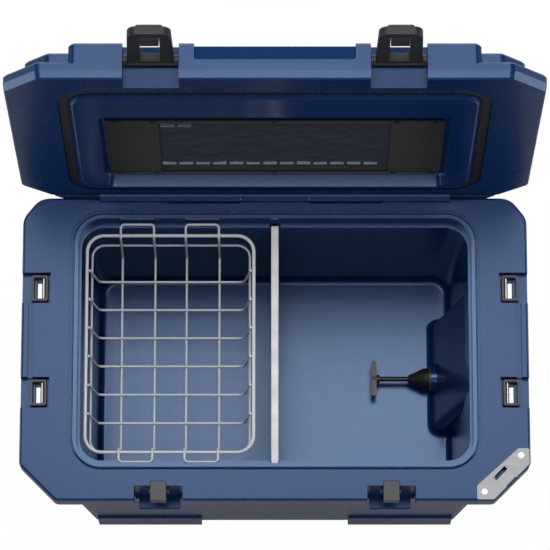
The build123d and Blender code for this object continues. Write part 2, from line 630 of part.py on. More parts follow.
with BuildPart() as tub_shell:
    add(tub_form(0))
    for x in KNUCKLES:
        add(wedge_x(
            (
                (RIM_BACK - SHELL_WALL, BAND_Z + 2),
                (RIM_BACK, BAND_Z + 2),
                (HINGE_Y + HINGE_RADIUS - 3, BAND_Z + 16),
                (HINGE_Y + HINGE_RADIUS, HINGE_Z),
                (HINGE_Y - HINGE_RADIUS, HINGE_Z),
            ),
            x - HALF_KNUCKLE,
            x + HALF_KNUCKLE,
        ))
        rod_x(HINGE_RADIUS, x - HALF_KNUCKLE, x + HALF_KNUCKLE, HINGE_Y, HINGE_Z)
    for side in (-1, 1):
        add(guard_bar(side * LATCH_X))
    rod_x(DRAIN_BOSS, DRAIN_OUT_X - 8, DRAIN_OUT_X, DRAIN_Y, DRAIN_Z)
    add(tub_cuts(0), mode=Mode.SUBTRACT)
    add(shell_core.part, mode=Mode.SUBTRACT)
    add(mouth_form(LINER_WALL + SEAT), mode=Mode.SUBTRACT)
    with BuildSketch(Plane.XY.offset(RIM_TOP - 2 - SEAT)):
        add(lip_plan(SEAT))
    extrude(amount=20, mode=Mode.SUBTRACT)
    with BuildSketch(Plane.XY.offset(RIM_TOP - 1.7 - SEAT)):
        add(opener_plan(SEAT))
    extrude(amount=20, mode=Mode.SUBTRACT)
    for x, y in OPENER_SCREWS:
        rod_z(1.65, RIM_TOP - 10, RIM_TOP, x, y, mode=Mode.SUBTRACT)
    for spot in foot_spots().values():
        rod_z(2.55, 0, BASE_Z + 22, *spot, mode=Mode.SUBTRACT)
    for side in (-1, 1):
        for x in (side * LATCH_X - 11, side * LATCH_X + 11):
            rod_y(1.65, KEEPER_Y - 1, KEEPER_Y + 3.6, x, KEEPER_SCREW_Z, mode=Mode.SUBTRACT)
    rod_x(DRAIN_TUBE + SEAT, 0, RIM_HALF, DRAIN_Y, DRAIN_Z, mode=Mode.SUBTRACT)
    rod_x(HINGE_PIN_RADIUS + FIXED_BORE, -RIM_HALF, RIM_HALF, HINGE_Y, HINGE_Z, mode=Mode.SUBTRACT)
    for side in (-1, 1):
        ends = sorted((side * (PIN_END + SEAT), side * (PIN_END + PIN_CAP_DEPTH + 5)))
        rod_x(PIN_CAP_RADIUS + FIXED_BORE, *ends, HINGE_Y, HINGE_Z, mode=Mode.SUBTRACT)
print("tub shell solids", len(tub_shell.solids()))
save(tub_shell.part, "tub_shell")

with BuildPart() as tub_insulation:
    add(tub_form(SHELL_WALL + FOAM_GAP))
    add(tub_cuts(SHELL_WALL + FOAM_GAP), mode=Mode.SUBTRACT)
    add(mouth_form(LINER_WALL + FOAM_GAP), mode=Mode.SUBTRACT)
    for spot in foot_spots().values():
        rod_z(12 + FOAM_GAP, 0, BASE_Z + 24 + FOAM_GAP, *spot, mode=Mode.SUBTRACT)
    rod_x(DRAIN_BOSS + FOAM_GAP, DRAIN_OUT_X - 8 - FOAM_GAP, RIM_HALF, DRAIN_Y, DRAIN_Z, mode=Mode.SUBTRACT)
    rod_x(DRAIN_TUBE + SEAT, 0, RIM_HALF, DRAIN_Y, DRAIN_Z, mode=Mode.SUBTRACT)
print("foam solids", len(tub_insulation.solids()))
save(tub_insulation.part, "tub_insulation")


# ---------------------------------------------------------------- feet
def make_foot(spot, name):
    """Rubber foot disc with a counterbored screw hole."""
    with BuildPart() as foot:
        rod_z(FOOT_RADIUS, 0, BASE_Z - SEAT, *spot)
        fillet(foot.edges().sort_by(Axis.Z)[0], 2)
        rod_z(7, 0, 4, *spot, mode=Mode.SUBTRACT)
        rod_z(2.7, 0, BASE_Z, *spot, mode=Mode.SUBTRACT)
    save(foot.part, name)


for place, spot in foot_spots().items():
    make_foot(spot, f"foot_{place}")

with BuildPart() as foot_screws:
    for spot in foot_spots().values():
        rod_z(5, 1.2, 4 - SEAT, *spot)
        rod_z(2.5, 1.2, BASE_Z + 20, *spot)
save(foot_screws.part, "foot_screws")

# ---------------------------------------------------------------- drain fitting and its plug
FLANGE_X = DRAIN_SEAT_X - SEAT - DRAIN_FLANGE_THICK
with BuildPart() as drain_tube:
    rod_x(DRAIN_FLANGE, FLANGE_X, DRAIN_SEAT_X - SEAT, DRAIN_Y, DRAIN_Z)
    rod_x(DRAIN_TUBE, FLANGE_X, DRAIN_OUT_X + DRAIN_SPOUT, DRAIN_Y, DRAIN_Z)
    chamfer(drain_tube.edges().sort_by(Axis.X)[-1], 1.2)
    rod_x(DRAIN_BORE, 0, RIM_HALF, DRAIN_Y, DRAIN_Z, mode=Mode.SUBTRACT)
save(drain_tube.part, "drain_tube")

with BuildPart() as drain_washer:
    rod_x(19, DRAIN_OUT_X + SEAT, DRAIN_OUT_X + 2.5, DRAIN_Y, DRAIN_Z)
    rod_x(DRAIN_TUBE + SEAT, 0, RIM_HALF, DRAIN_Y, DRAIN_Z, mode=Mode.SUBTRACT)
save(drain_washer.part, "drain_washer")

with BuildPart() as drain_nut:
    with BuildSketch(Plane.YZ.offset(DRAIN_OUT_X + 2.5 + SEAT)):
        with Locations((DRAIN_Y, DRAIN_Z)):
            RegularPolygon(19, 6)
            Circle(DRAIN_TUBE + SEAT, mode=Mode.SUBTRACT)
    extrude(amount=8)
save(drain_nut.part, "drain_nut")

STOPPER_X = FLANGE_X - 0.4
with BuildPart() as drain_stopper:
    with BuildSketch(Plane.XY.offset(DRAIN_Z)):
        with BuildLine():
            Polyline(
                (STOPPER_X - STOPPER_CONE - 8, DRAIN_Y),
                (STOPPER_X - STOPPER_CONE - 8, DRAIN_Y + 6),
                (STOPPER_X - 8, DRAIN_Y + STOPPER_RADIUS),
                (STOPPER_X, DRAIN_Y + STOPPER_RADIUS),
                (STOPPER_X, DRAIN_Y + DRAIN_BORE - 0.4),
                (STOPPER_X + STOPPER_SPIGOT, DRAIN_Y + DRAIN_BORE - 1.6),
                (STOPPER_X + STOPPER_SPIGOT, DRAIN_Y),
                close=True,
            )
        make_face()
    revolve(axis=Axis((0, DRAIN_Y, DRAIN_Z), (1, 0, 0)))
    rod_x(PULL_ROD_RADIUS + SEAT, 0, STOPPER_X - 8, DRAIN_Y, DRAIN_Z, mode=Mode.SUBTRACT)
save(drain_stopper.part, "drain_stopper")

ROD_END = STOPPER_X - 8 - SEAT
HUB_X = ROD_END - PULL_ROD_LENGTH - STOPPER_CONE + T_HUB_LENGTH
with BuildPart() as drain_rod:
    rod_x(PULL_ROD_RADIUS, HUB_X - T_HUB_LENGTH / 2, ROD_END, DRAIN_Y, DRAIN_Z)
    chamfer(drain_rod.edges().sort_by(Axis.X)[0], 0.8)
save(drain_rod.part, "drain_pull_rod")

with BuildPart() as drain_t_handle:
    with Locations((HUB_X - T_HUB_LENGTH + T_BAR_WIDTH / 2, DRAIN_Y, DRAIN_Z)):
        Box(T_BAR_WIDTH, T_BAR_LENGTH, T_BAR_WIDTH + 4)
    fillet(drain_t_handle.edges().filter_by(Axis.Z), 4)
    rod_x(7, HUB_X - T_HUB_LENGTH + 1, HUB_X, DRAIN_Y, DRAIN_Z)
    rod_x(PULL_ROD_RADIUS + SEAT, HUB_X - T_HUB_LENGTH / 2 - SEAT, HUB_X + 5, DRAIN_Y, DRAIN_Z,
          mode=Mode.SUBTRACT)
save(drain_t_handle.part, "drain_t_handle")


# ---------------------------------------------------------------- latch keepers
def make_keeper(side, name):
    """Grey hook tongue with its root let into the recess wall and a screwed plate below."""
    x = side * LATCH_X
    half = TONGUE_WIDTH / 2
    with BuildPart() as keeper:
        block(x - half, x + half, RIM_FRONT + 0.1, KEEPER_Y + TONGUE_ROOT, RIM_TOP - TONGUE_THICK, RIM_TOP)
        front = keeper.faces().sort_by(Axis.Y)[0]
        fillet(front.edges().filter_by(Axis.Z), TONGUE_ROUND)
        chamfer(keeper.faces().sort_by(Axis.Z)[-1].edges(), 0.8)
        block(x - 17, x + 17, KEEPER_Y - SEAT - KEEPER_PLATE, KEEPER_Y - SEAT, KEEPER_SCREW_Z - 8,
              RIM_TOP - TONGUE_THICK)
        for screw in (x - 11, x + 11):
            rod_y(1.75, KEEPER_Y - 9, KEEPER_Y, screw, KEEPER_SCREW_Z, mode=Mode.SUBTRACT)
    save(keeper.part, name)


make_keeper(-1, "keeper_left")
make_keeper(1, "keeper_right")

with BuildPart() as keeper_screws:
    plate_front = KEEPER_Y - SEAT - KEEPER_PLATE
    for side in (-1, 1):
        for x in (side * LATCH_X - 11, side * LATCH_X + 11):
            rod_y(3.2, plate_front - 1.8, plate_front - SEAT, x, KEEPER_SCREW_Z)
            rod_y(1.6, plate_front - 1.8, KEEPER_Y + 3.5, x, KEEPER_SCREW_Z)
            for wide, high in ((4.4, 0.9), (0.9, 4.4)):
                with Locations((x, plate_front - 1.8, KEEPER_SCREW_Z)):
                    Box(wide, 1.6, high, mode=Mode.SUBTRACT)
save(keeper_screws.part, "keeper_screws")


# ---------------------------------------------------------------- tie-down anchors
def make_anchor(side, y, name):
    """Grey frame lying in its rim pocket, with a lashing bar across the window."""
    centre = side * (RIM_HALF - ANCHOR_EDGE - ANCHOR_FRAME_X / 2)
    base = RIM_TOP - ANCHOR_POCKET_DEPTH + SEAT
    window_x = ANCHOR_FRAME_X - 2 * ANCHOR_BORDER
    window_y = ANCHOR_FRAME_Y - 2 * ANCHOR_BORDER
    with BuildPart() as frame:
        with BuildSketch(Plane.XY.offset(base)):
            with Locations((centre, y)):
                RectangleRounded(ANCHOR_FRAME_X, ANCHOR_FRAME_Y, 4)
                RectangleRounded(window_x, window_y, 2, mode=Mode.SUBTRACT)
        extrude(amount=ANCHOR_FRAME_Z)
        fillet(frame.faces().sort_by(Axis.Z)[-1].edges(), 1.2)
        rod_y(ANCHOR_BAR_RADIUS + FIXED_BORE, y - ANCHOR_FRAME_Y / 2 + 2, y + ANCHOR_FRAME_Y / 2 - 2,
              side * ANCHOR_BAR_X, base + ANCHOR_FRAME_Z / 2, mode=Mode.SUBTRACT)
    save(frame.part, f"anchor_frame_{name}")
    with BuildPart() as bar:
        rod_y(ANCHOR_BAR_RADIUS, y - ANCHOR_FRAME_Y / 2 + 2.1, y + ANCHOR_FRAME_Y / 2 - 2.1,
              side * ANCHOR_BAR_X, base + ANCHOR_FRAME_Z / 2)
    save(bar.part, f"anchor_bar_{name}")


for side, side_name in ((-1, "left"), (1, "right")):
    for anchor_y, end_name in zip(ANCHOR_YS, ("front", "rear")):
        make_anchor(side, anchor_y, f"{end_name}_{side_name}")

# ---------------------------------------------------------------- bottle opener
with BuildPart() as bottle_opener:
    with BuildSketch(Plane.XY.offset(RIM_TOP - 1.7)):
        add(opener_plan(0))
        with Locations(Location((OPENER_X, OPENER_Y), OPENER_TURN)):
            for along, across, length, width in OPENER_SLOTS:
                with Locations((along, across)):
                    RectangleRounded(length, width, 1.4, mode=Mode.SUBTRACT)
        with Locations(*OPENER_SCREWS):
            Circle(1.75, mode=Mode.SUBTRACT)
    extrude(amount=OPENER_THICK)
    with BuildSketch(Plane.XY.offset(RIM_TOP)):
        with Locations((OPENER_X, OPENER_Y)):
            Circle(OPENER_RING + 0.4)
            Circle(OPENER_RING - 0.4, mode=Mode.SUBTRACT)
        add(opener_plan(0), mode=Mode.INTERSECT)
    extrude(amount=0.7)
    for x, y in OPENER_SCREWS:
        rod_z(OPENER_HEAD + 0.1, RIM_TOP - 0.8, RIM_TOP + 9, x, y, mode=Mode.SUBTRACT)
save(bottle_opener.part, "bottle_opener_plate")

with BuildPart() as opener_screws:
    for x, y in OPENER_SCREWS:
        rod_z(OPENER_HEAD, RIM_TOP - 0.8 + SEAT, RIM_TOP + 0.6, x, y)
        rod_z(1.6, RIM_TOP - SHELL_WALL + 0.1, RIM_TOP, x, y)
    chamfer(opener_screws.edges().group_by(Axis.Z)[-1], 0.4)
    for x, y in OPENER_SCREWS:
        for wide, deep in ((OPENER_CROSS, 1.5), (1.5, OPENER_CROSS)):
            with Locations((x, y, RIM_TOP + 0.6)):
                Box(wide, deep, 1.5, mode=Mode.SUBTRACT)
save(opener_screws.part, "opener_screws")

# ---------------------------------------------------------------- hinge pin
with BuildPart() as hinge_pin:
    rod_x(HINGE_PIN_RADIUS, -PIN_END, PIN_END, HINGE_Y, HINGE_Z)
save(hinge_pin.part, "hinge_pin")

with BuildPart() as hinge_pin_caps:
    for side in (-1, 1):
        ends = sorted((side * (PIN_END + 2 * SEAT), side * (PIN_END + PIN_CAP_DEPTH)))
        rod_x(PIN_CAP_RADIUS, *ends, HINGE_Y, HINGE_Z)
save(hinge_pin_caps.part, "hinge_pin_caps")


# ---------------------------------------------------------------- lid forms, drawn closed
def lid_form(inset):
    """Outside of the lid pulled in by inset: slab, set-back shoulder and raised deck flush with the front."""
    bevel = LID_BEVEL - inset * (2 - sqrt(2))
    front_cut = (LID_FRONT_CHAMFER, LID_FRONT_CHAMFER)
    rear_cut = (LID_REAR_CHAMFER, LID_REAR_CHAMFER)
    tucked = inset + LID_TUCK * (1 - inset / (SLAB_MIDDLE - LID_Z))
    with BuildPart() as form:
        with BuildSketch(Plane.XY.offset(LID_Z + inset)):
            add(cut_corner_plan(LID_HALF - tucked, LID_FRONT + tucked, LID_BACK - tucked, front_cut, rear_cut, 12))
        with BuildSketch(Plane.XY.offset(SLAB_MIDDLE)):
            add(cut_corner_plan(LID_HALF - inset, LID_FRONT + inset, LID_BACK - inset, front_cut, rear_cut, 12))
        loft()
        if inset == 0:
            fillet(form.faces().sort_by(Axis.Z)[0].edges(), LID_ROUND)
        with BuildSketch(Plane.XY.offset(SLAB_MIDDLE)):
            add(cut_corner_plan(LID_HALF - inset, LID_FRONT + inset, LID_BACK - inset, front_cut, rear_cut, 12))
        extrude(amount=LID_Z + LID_SLAB - SLAB_MIDDLE - inset)
        chamfer(form.faces().sort_by(Axis.Z)[-1].edges(), bevel)
        with BuildSketch(Plane.XY.offset(SLAB_MIDDLE)):
            add(cut_corner_plan(LID_HALF - SHOULDER_IN - inset, LID_FRONT + SHOULDER_BACK + inset,
                                LID_BACK - SHOULDER_BACK - inset,
                                (SHOULDER_FRONT_CHAMFER, SHOULDER_FRONT_CHAMFER),
                                (SHOULDER_REAR_CHAMFER, SHOULDER_REAR_CHAMFER), 12))
        extrude(amount=LID_EDGE_Z - SLAB_MIDDLE - inset)
        chamfer(form.faces().sort_by(Axis.Z)[-1].edges(), bevel)
        with BuildSketch(Plane.XY.offset(SLAB_MIDDLE)):
            add(cut_corner_plan(DECK_HALF - inset, LID_FRONT + inset, LID_BACK - DECK_BACK - inset,
                                (DECK_FRONT_CHAMFER, DECK_FRONT_CHAMFER),
                                (DECK_REAR_CHAMFER, DECK_REAR_CHAMFER), 6))
        extrude(amount=LID_TOP - SLAB_MIDDLE - inset)
        chamfer(form.faces().sort_by(Axis.Z)[-1].edges(), bevel)
    return form.part


def grip_form(grow):
    """Finger recess in the deck's front, open at its top, with a sloped floor; grown by grow."""
    low = LID_TOP - GRIP_HEIGHT - grow
    with BuildPart() as grip:
        add(wedge_x(
            (
                (LID_FRONT - 20, low),
                (LID_FRONT + GRIP_LOW_DEPTH + grow, low),
                (LID_FRONT + GRIP_DEPTH + grow, LID_TOP),
                (LID_FRONT + GRIP_DEPTH + grow, LID_TOP + 20),
                (LID_FRONT - 20, LID_TOP + 20),
            ),
            -GRIP_HALF - grow,
            GRIP_HALF + grow,
        ))
        fillet(grip.edges().filter_by(Axis.Y).group_by(Axis.Z)[0], GRIP_ROUND + grow)
    return grip.part


def lid_cuts(grow):
    """Recesses in the lid, grown by grow: latch notches, finger recess and hinge clearances."""
    with BuildPart() as cuts:
        for side in (-1, 1):
            x = side * LATCH_X
            add(wedge_x(
                (
                    (LID_FRONT - 20, LID_Z - 20),
                    (LID_FRONT + NOTCH_LOW_DEPTH + 6 + grow, LID_Z - 20),
                    (LID_FRONT + NOTCH_TOP_DEPTH - 3 + grow, LID_TOP + 9),
                    (LID_FRONT - 20, LID_TOP + 9),
                ),
                x - NOTCH_HALF - grow,
                x + NOTCH_HALF + grow,
            ))
        add(grip_form(grow))
        for x in KNUCKLES:
            half = HALF_KNUCKLE + KNUCKLE_GAP + grow
            rod_x(HINGE_SWEEP + grow, x - half, x + half, HINGE_Y, HINGE_Z)
            block(x - half, x + half, HINGE_Y, LID_BACK + 9, LID_Z - 9, HINGE_Z + HINGE_SWEEP + grow)
    return cuts.part


def channel_plan(half_width):
    """Ring plan centred on the sealing lip."""
    with BuildSketch() as ring:
        add(round_plan(CHANNEL_X + half_width, CHANNEL_FRONT - half_width, CHANNEL_BACK + half_width,
                       MOUTH_CORNER + LIP_WIDTH / 2 + half_width))
        add(round_plan(CHANNEL_X - half_width, CHANNEL_FRONT + half_width, CHANNEL_BACK - half_width,
                       MOUTH_CORNER + LIP_WIDTH / 2 - half_width), mode=Mode.SUBTRACT)
    return ring.sketch


def liner_panel_plan(grow):
    """Plan of the lid liner panel inside the gasket channel."""
    return round_plan(CHANNEL_X - PANEL_IN + grow, CHANNEL_FRONT + PANEL_IN - grow,
                      CHANNEL_BACK - PANEL_IN + grow, 30)


def pan_form(grow):
    """Fabric pocket recess in the lid liner, grown by grow."""
    with BuildPart() as pan:
        with BuildSketch(Plane.XY.offset(LID_Z - PANEL_PROUD)):
            add(round_plan(POCKET_HALF + grow, POCKET_FRONT - grow, POCKET_REAR + grow, 16 + grow))
        extrude(amount=POCKET_DEPTH + PANEL_PROUD + grow, taper=POCKET_DRAFT)
        if grow == 0:
            fillet(pan.faces().sort_by(Axis.Z)[-1].edges(), 4)
    return pan.part


# ---------------------------------------------------------------- lid: shell, liner, foam, gasket
RING_WIDE = PANEL_IN + PANEL_SHELF
RING_TOP = CHANNEL_TOP + CHANNEL_WALL

with BuildPart() as lid_core:
    add(lid_form(SHELL_WALL))
    add(lid_cuts(SHELL_WALL), mode=Mode.SUBTRACT)
    with BuildSketch(Plane.XY.offset(LID_Z)):
        add(channel_plan(RING_WIDE))
    extrude(amount=RING_TOP - LID_Z, mode=Mode.SUBTRACT)
    for x0, x1 in LID_BARRELS:
        rod_x(HINGE_RADIUS + 3, x0, x1, HINGE_Y, HINGE_Z, mode=Mode.SUBTRACT)

with BuildPart() as lid_shell:
    add(lid_form(0))
    for x0, x1 in LID_BARRELS:
        rod_x(HINGE_RADIUS, x0, x1, HINGE_Y, HINGE_Z)
        block(x0, x1, HINGE_Y - HINGE_RADIUS + 2, HINGE_Y + HINGE_RADIUS - 2, HINGE_Z, LID_Z + 5)
    add(lid_cuts(0), mode=Mode.SUBTRACT)
    add(lid_core.part, mode=Mode.SUBTRACT)
    with BuildSketch(Plane.XY.offset(LID_Z - 1)):
        add(channel_plan(CHANNEL_IN))
    extrude(amount=CHANNEL_TOP - LID_Z + 1, mode=Mode.SUBTRACT)
    with BuildSketch(Plane.XY.offset(LID_Z - 1)):
        add(liner_panel_plan(SEAT))
    extrude(amount=LINER_WALL + SEAT + 1, mode=Mode.SUBTRACT)
    with BuildSketch(Plane.XY.offset(LID_Z - 1)):
        add(liner_panel_plan(-PANEL_SHELF))
    extrude(amount=RING_TOP - LID_Z + 2, mode=Mode.SUBTRACT)
    rod_x(HINGE_PIN_RADIUS + RUNNING_BORE, -RIM_HALF, RIM_HALF, HINGE_Y, HINGE_Z, mode=Mode.SUBTRACT)
    for side in (-1, 1):
        x = side * LATCH_X
        rod_x(LATCH_PIN_RADIUS + FIXED_BORE, x - NOTCH_HALF - 3.8, x + NOTCH_HALF + 3.8, PIVOT_Y, PIVOT_Z,
              mode=Mode.SUBTRACT)
print("lid shell solids", len(lid_shell.solids()))
save_lid(lid_shell.part, "lid_shell")

with BuildPart() as lid_liner:
    with BuildSketch(Plane.XY.offset(LID_Z - PANEL_PROUD)):
        add(liner_panel_plan(0))
    extrude(amount=PANEL_PROUD + LINER_WALL)
    chamfer(lid_liner.faces().sort_by(Axis.Z)[0].edges(), PANEL_BEVEL)
    add(pan_form(LINER_WALL))
    add(pan_form(0), mode=Mode.SUBTRACT)
save_lid(lid_liner.part, "lid_liner")

with BuildPart() as lid_insulation:
    add(lid_form(SHELL_WALL + FOAM_GAP))
    add(lid_cuts(SHELL_WALL + FOAM_GAP), mode=Mode.SUBTRACT)
    with BuildSketch(Plane.XY.offset(LID_Z)):
        add(channel_plan(RING_WIDE + FOAM_GAP))
    extrude(amount=RING_TOP - LID_Z + FOAM_GAP, mode=Mode.SUBTRACT)
    for x0, x1 in LID_BARRELS:
        rod_x(HINGE_RADIUS + 3 + FOAM_GAP, x0 - FOAM_GAP, x1 + FOAM_GAP, HINGE_Y, HINGE_Z, mode=Mode.SUBTRACT)
    add(pan_form(LINER_WALL + FOAM_GAP), mode=Mode.SUBTRACT)
    block(-POCKET_HALF, POCKET_HALF, POCKET_REAR, CHANNEL_BACK, LID_Z, RING_TOP + FOAM_GAP, mode=Mode.SUBTRACT)
print("lid foam solids", len(lid_insulation.solids()))
save_lid(lid_insulation.part, "lid_insulation")

with BuildPart() as lid_gasket:
    with BuildSketch(Plane.XY.offset(CHANNEL_TOP - SEAT - GASKET_HEIGHT)):
        add(channel_plan(GASKET_WIDTH / 2))
    extrude(amount=GASKET_HEIGHT)
    fillet(lid_gasket.faces().sort_by(Axis.Z)[0].edges(), 1.5)
save_lid(lid_gasket.part, "lid_gasket")


# ---------------------------------------------------------------- lid pocket
def fabric_panel(x0, x1, y0, y1, thick, name):
    """Flat fabric piece lying against the recess floor."""
    top = LID_Z + POCKET_DEPTH - SEAT
    with BuildPart() as panel:
        block(x0, x1, y0, y1, top - thick, top)
    save_lid(panel.part, name)


INNER_FRONT = FABRIC_FRONT + BINDING
INNER_REAR = FABRIC_REAR - BINDING
fabric_panel(-FABRIC_HALF, -MESH_HALF - SEAT, INNER_FRONT + SEAT, INNER_REAR - SEAT, FABRIC_THICK,
             "pocket_panel_left")
fabric_panel(MESH_HALF + SEAT, FABRIC_HALF, INNER_FRONT + SEAT, INNER_REAR - SEAT, FABRIC_THICK,
             "pocket_panel_right")
fabric_panel(-MESH_HALF, MESH_HALF, INNER_FRONT + SEAT, INNER_REAR - SEAT, MESH_THICK, "pocket_mesh")

RIVET_XS = (-FABRIC_HALF + 14, -MESH_HALF - 8, 0.0, MESH_HALF + 8, FABRIC_HALF - 14)
RIVET_YS = (FABRIC_FRONT + BINDING / 2, FABRIC_REAR - BINDING / 2)


def binding_band(y0, y1, rivet_y, name):
    """Stitched edge band, pierced for its rivets."""
    top = LID_Z + POCKET_DEPTH - SEAT
    with BuildPart() as band:
        block(-FABRIC_HALF, FABRIC_HALF, y0, y1, top - FABRIC_THICK, top)
        fillet(band.edges().filter_by(Axis.Z), 3)
        for x in RIVET_XS:
            rod_z(1.7, top - 9, top + 9, x, rivet_y, mode=Mode.SUBTRACT)
    save_lid(band.part, name)


binding_band(FABRIC_FRONT, INNER_FRONT, RIVET_YS[0], "pocket_binding_front")
binding_band(INNER_REAR, FABRIC_REAR, RIVET_YS[1], "pocket_binding_rear")

with BuildPart() as pocket_rivets:
    fabric_low = LID_Z + POCKET_DEPTH - SEAT - FABRIC_THICK
    for rivet_y in RIVET_YS:
        for x in RIVET_XS:
            rod_z(RIVET_RADIUS, fabric_low - 1.3, fabric_low - SEAT, x, rivet_y)
            rod_z(1.6, fabric_low - 1.3, LID_Z + POCKET_DEPTH - 0.1, x, rivet_y)
save_lid(pocket_rivets.part, "pocket_rivets")


# ---------------------------------------------------------------- latches
def make_latch(side, name):
    """Windowed lever on its pin, with a pinned pawl that hooks under the keeper tongue."""
    x = side * LATCH_X
    half = LATCH_WIDTH / 2
    hole = WINDOW_WIDTH / 2
    y0 = PIVOT_Y - LATCH_THICK / 2
    y1 = PIVOT_Y + LATCH_THICK / 2
    foot = PIVOT_Z - LATCH_LENGTH
    pin_z = PIVOT_Z - PAWL_PIN_AT
    with BuildPart() as lever:
        with BuildSketch(Plane.XZ.offset(-PIVOT_Y)):
            Polygon(
                (x - half, PIVOT_Z),
                (x - half + 3, foot),
                (x + half - 3, foot),
                (x + half, PIVOT_Z),
                align=None,
            )
        extrude(amount=LATCH_THICK / 2, both=True)
        fillet(lever.edges().filter_by(Axis.Y).group_by(Axis.Z)[0], 14)
        block(x - hole, x + hole, y0 - 1, y1 + 1, PIVOT_Z - WINDOW_FAR, PIVOT_Z - WINDOW_NEAR, mode=Mode.SUBTRACT)
        fillet(lever.faces().filter_by(Axis.Y).edges().filter_by_position(Axis.Z, foot - 1, PIVOT_Z - 3), 1.5)
        rod_x(LATCH_LIP_RADIUS, x - LATCH_LIP_HALF + 9, x + LATCH_LIP_HALF - 9, y0 + 1, foot + LATCH_LIP_RADIUS)
        for end in (-1, 1):
            with Locations((x + end * (LATCH_LIP_HALF - 9), y0 + 1, foot + LATCH_LIP_RADIUS)):
                Sphere(LATCH_LIP_RADIUS)
        rod_x(LATCH_BARREL, x - NOTCH_HALF + LATCH_SIDE_GAP, x + NOTCH_HALF - LATCH_SIDE_GAP, PIVOT_Y, PIVOT_Z)
        rod_x(LATCH_PIN_RADIUS + RUNNING_BORE, x - 60, x + 60, PIVOT_Y, PIVOT_Z, mode=Mode.SUBTRACT)
        rod_x(PAWL_PIN_RADIUS + FIXED_BORE, x - hole - 8, x + hole + 8, PIVOT_Y, pin_z, mode=Mode.SUBTRACT)
    save_latch(lever.part, f"latch_lever_{name}")
    with BuildPart() as pawl:
        block(x - hole + 1, x + hole - 1, y0 + 1, y1 - 1, PIVOT_Z - WINDOW_FAR + 1, PIVOT_Z - PAWL_NEAR)
        fillet(pawl.edges().filter_by(Axis.X), 2.5)
        rod_x(PAWL_PIN_RADIUS + FIXED_BORE, x - 60, x + 60, PIVOT_Y, pin_z, mode=Mode.SUBTRACT)
    save_latch(pawl.part, f"latch_pawl_{name}")
    with BuildPart() as pawl_pin:
        rod_x(PAWL_PIN_RADIUS, x - hole - 7.8, x + hole + 7.8, PIVOT_Y, pin_z)
    save_latch(pawl_pin.part, f"latch_pawl_pin_{name}")
    with BuildPart() as pivot_pin:
        rod_x(LATCH_PIN_RADIUS, x - NOTCH_HALF - 3.6, x + NOTCH_HALF + 3.6, PIVOT_Y, PIVOT_Z)
    save_lid(pivot_pin.part, f"latch_pivot_pin_{name}")


make_latch(-1, "left")
make_latch(1, "right")

# ---------------------------------------------------------------- wire basket
RING_PATH = (BASKET_LEFT, BASKET_RIGHT, BASKET_FRONT, BASKET_BACK)


def wire_ring(x0, x1, y0, y1, z, radius, bend):
    """Closed rectangular ring with round corners."""
    middle = (y0 + y1) / 2
    points = ((x0, y0, z), (x1, y0, z), (x1, y1, z), (x0, y1, z))
    return bent_wire(points, radius, bend, closed=True)


save(wire_ring(*RING_PATH, RING_Z, RING_WIRE, BASKET_CORNER), "basket_top_ring")

REACH = RING_WIRE + WIRE + WELD_GAP
WALL_DROP = BASKET_DEPTH
MID_Z = CROSS_Z + WALL_DROP / 2
MID_INSET = REACH + BASKET_SLANT / 2 - 2 * WIRE - WELD_GAP
save(
    wire_ring(BASKET_LEFT + MID_INSET, BASKET_RIGHT - MID_INSET, BASKET_FRONT + MID_INSET,
              BASKET_BACK - MID_INSET, MID_Z, WIRE, BASKET_CORNER - MID_INSET),
    "basket_mid_ring",
)

for index in range(CROSS_COUNT):
    y = CROSS_FIRST + index * CROSS_PITCH
    left = BASKET_LEFT + REACH
    right = BASKET_RIGHT - REACH
    cross = bent_wire(
        (
            (left, y, RING_Z + RING_WIRE),
            (left + BASKET_SLANT, y, CROSS_Z),
            (right - BASKET_SLANT, y, CROSS_Z),
            (right, y, RING_Z + RING_WIRE),
        ),
        WIRE,
        BASKET_BEND,
    )
    save(cross, f"basket_cross_wire_{index + 1}")


def hook_loop(x0, x1, name):
    """Closed hairpin wire: a hook at each end, two walls and two runs along the basket floor."""
    front = BASKET_FRONT + REACH
    back = BASKET_BACK - REACH
    side = (
        (front - HOOK_REACH - REACH + 2, HOOK_Z),
        (front, HOOK_Z),
        (front + BASKET_SLANT, LONG_Z),
        (back - BASKET_SLANT, LONG_Z),
        (back, HOOK_Z),
        (back + HOOK_REACH + REACH - 1, HOOK_Z),
    )
    points = [(x0, y, z) for y, z in side] + [(x1, y, z) for y, z in reversed(side)]
    save(bent_wire(points, WIRE, 6, closed=True), name)


hook_loop(*HOOK_PAIRS[0], "basket_hook_loop_left")
hook_loop(*HOOK_PAIRS[1], "basket_hook_loop_right")

# ---------------------------------------------------------------- divider
with BuildPart() as divider:
    top = RIM_TOP - DIVIDER_DROP
    low = FLOOR_Z + 0.5
    slot_front = MOUTH_FRONT + LEDGE_Y - DIVIDER_SLOT_DEPTH
    slot_back = MOUTH_BACK - LEDGE_Y + DIVIDER_SLOT_DEPTH
    add(wedge_x(
        (
            (slot_front + 2.5, top),
            (FLOOR_FRONT - DIVIDER_SLOT_DEPTH + 2.5, low),
            (FLOOR_BACK + DIVIDER_SLOT_DEPTH - 2.5, low),
            (slot_back - 4, top),
        ),
        -DIVIDER_THICK / 2,
        DIVIDER_THICK / 2,
    ))
    fillet(divider.faces().sort_by(Axis.Z)[-1].edges(), 2.5)
save(divider.part, "divider_panel")
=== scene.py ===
"""Hard-sided cooler box with its lid standing open: materials, sewn lid pocket, stage and camera."""

import math

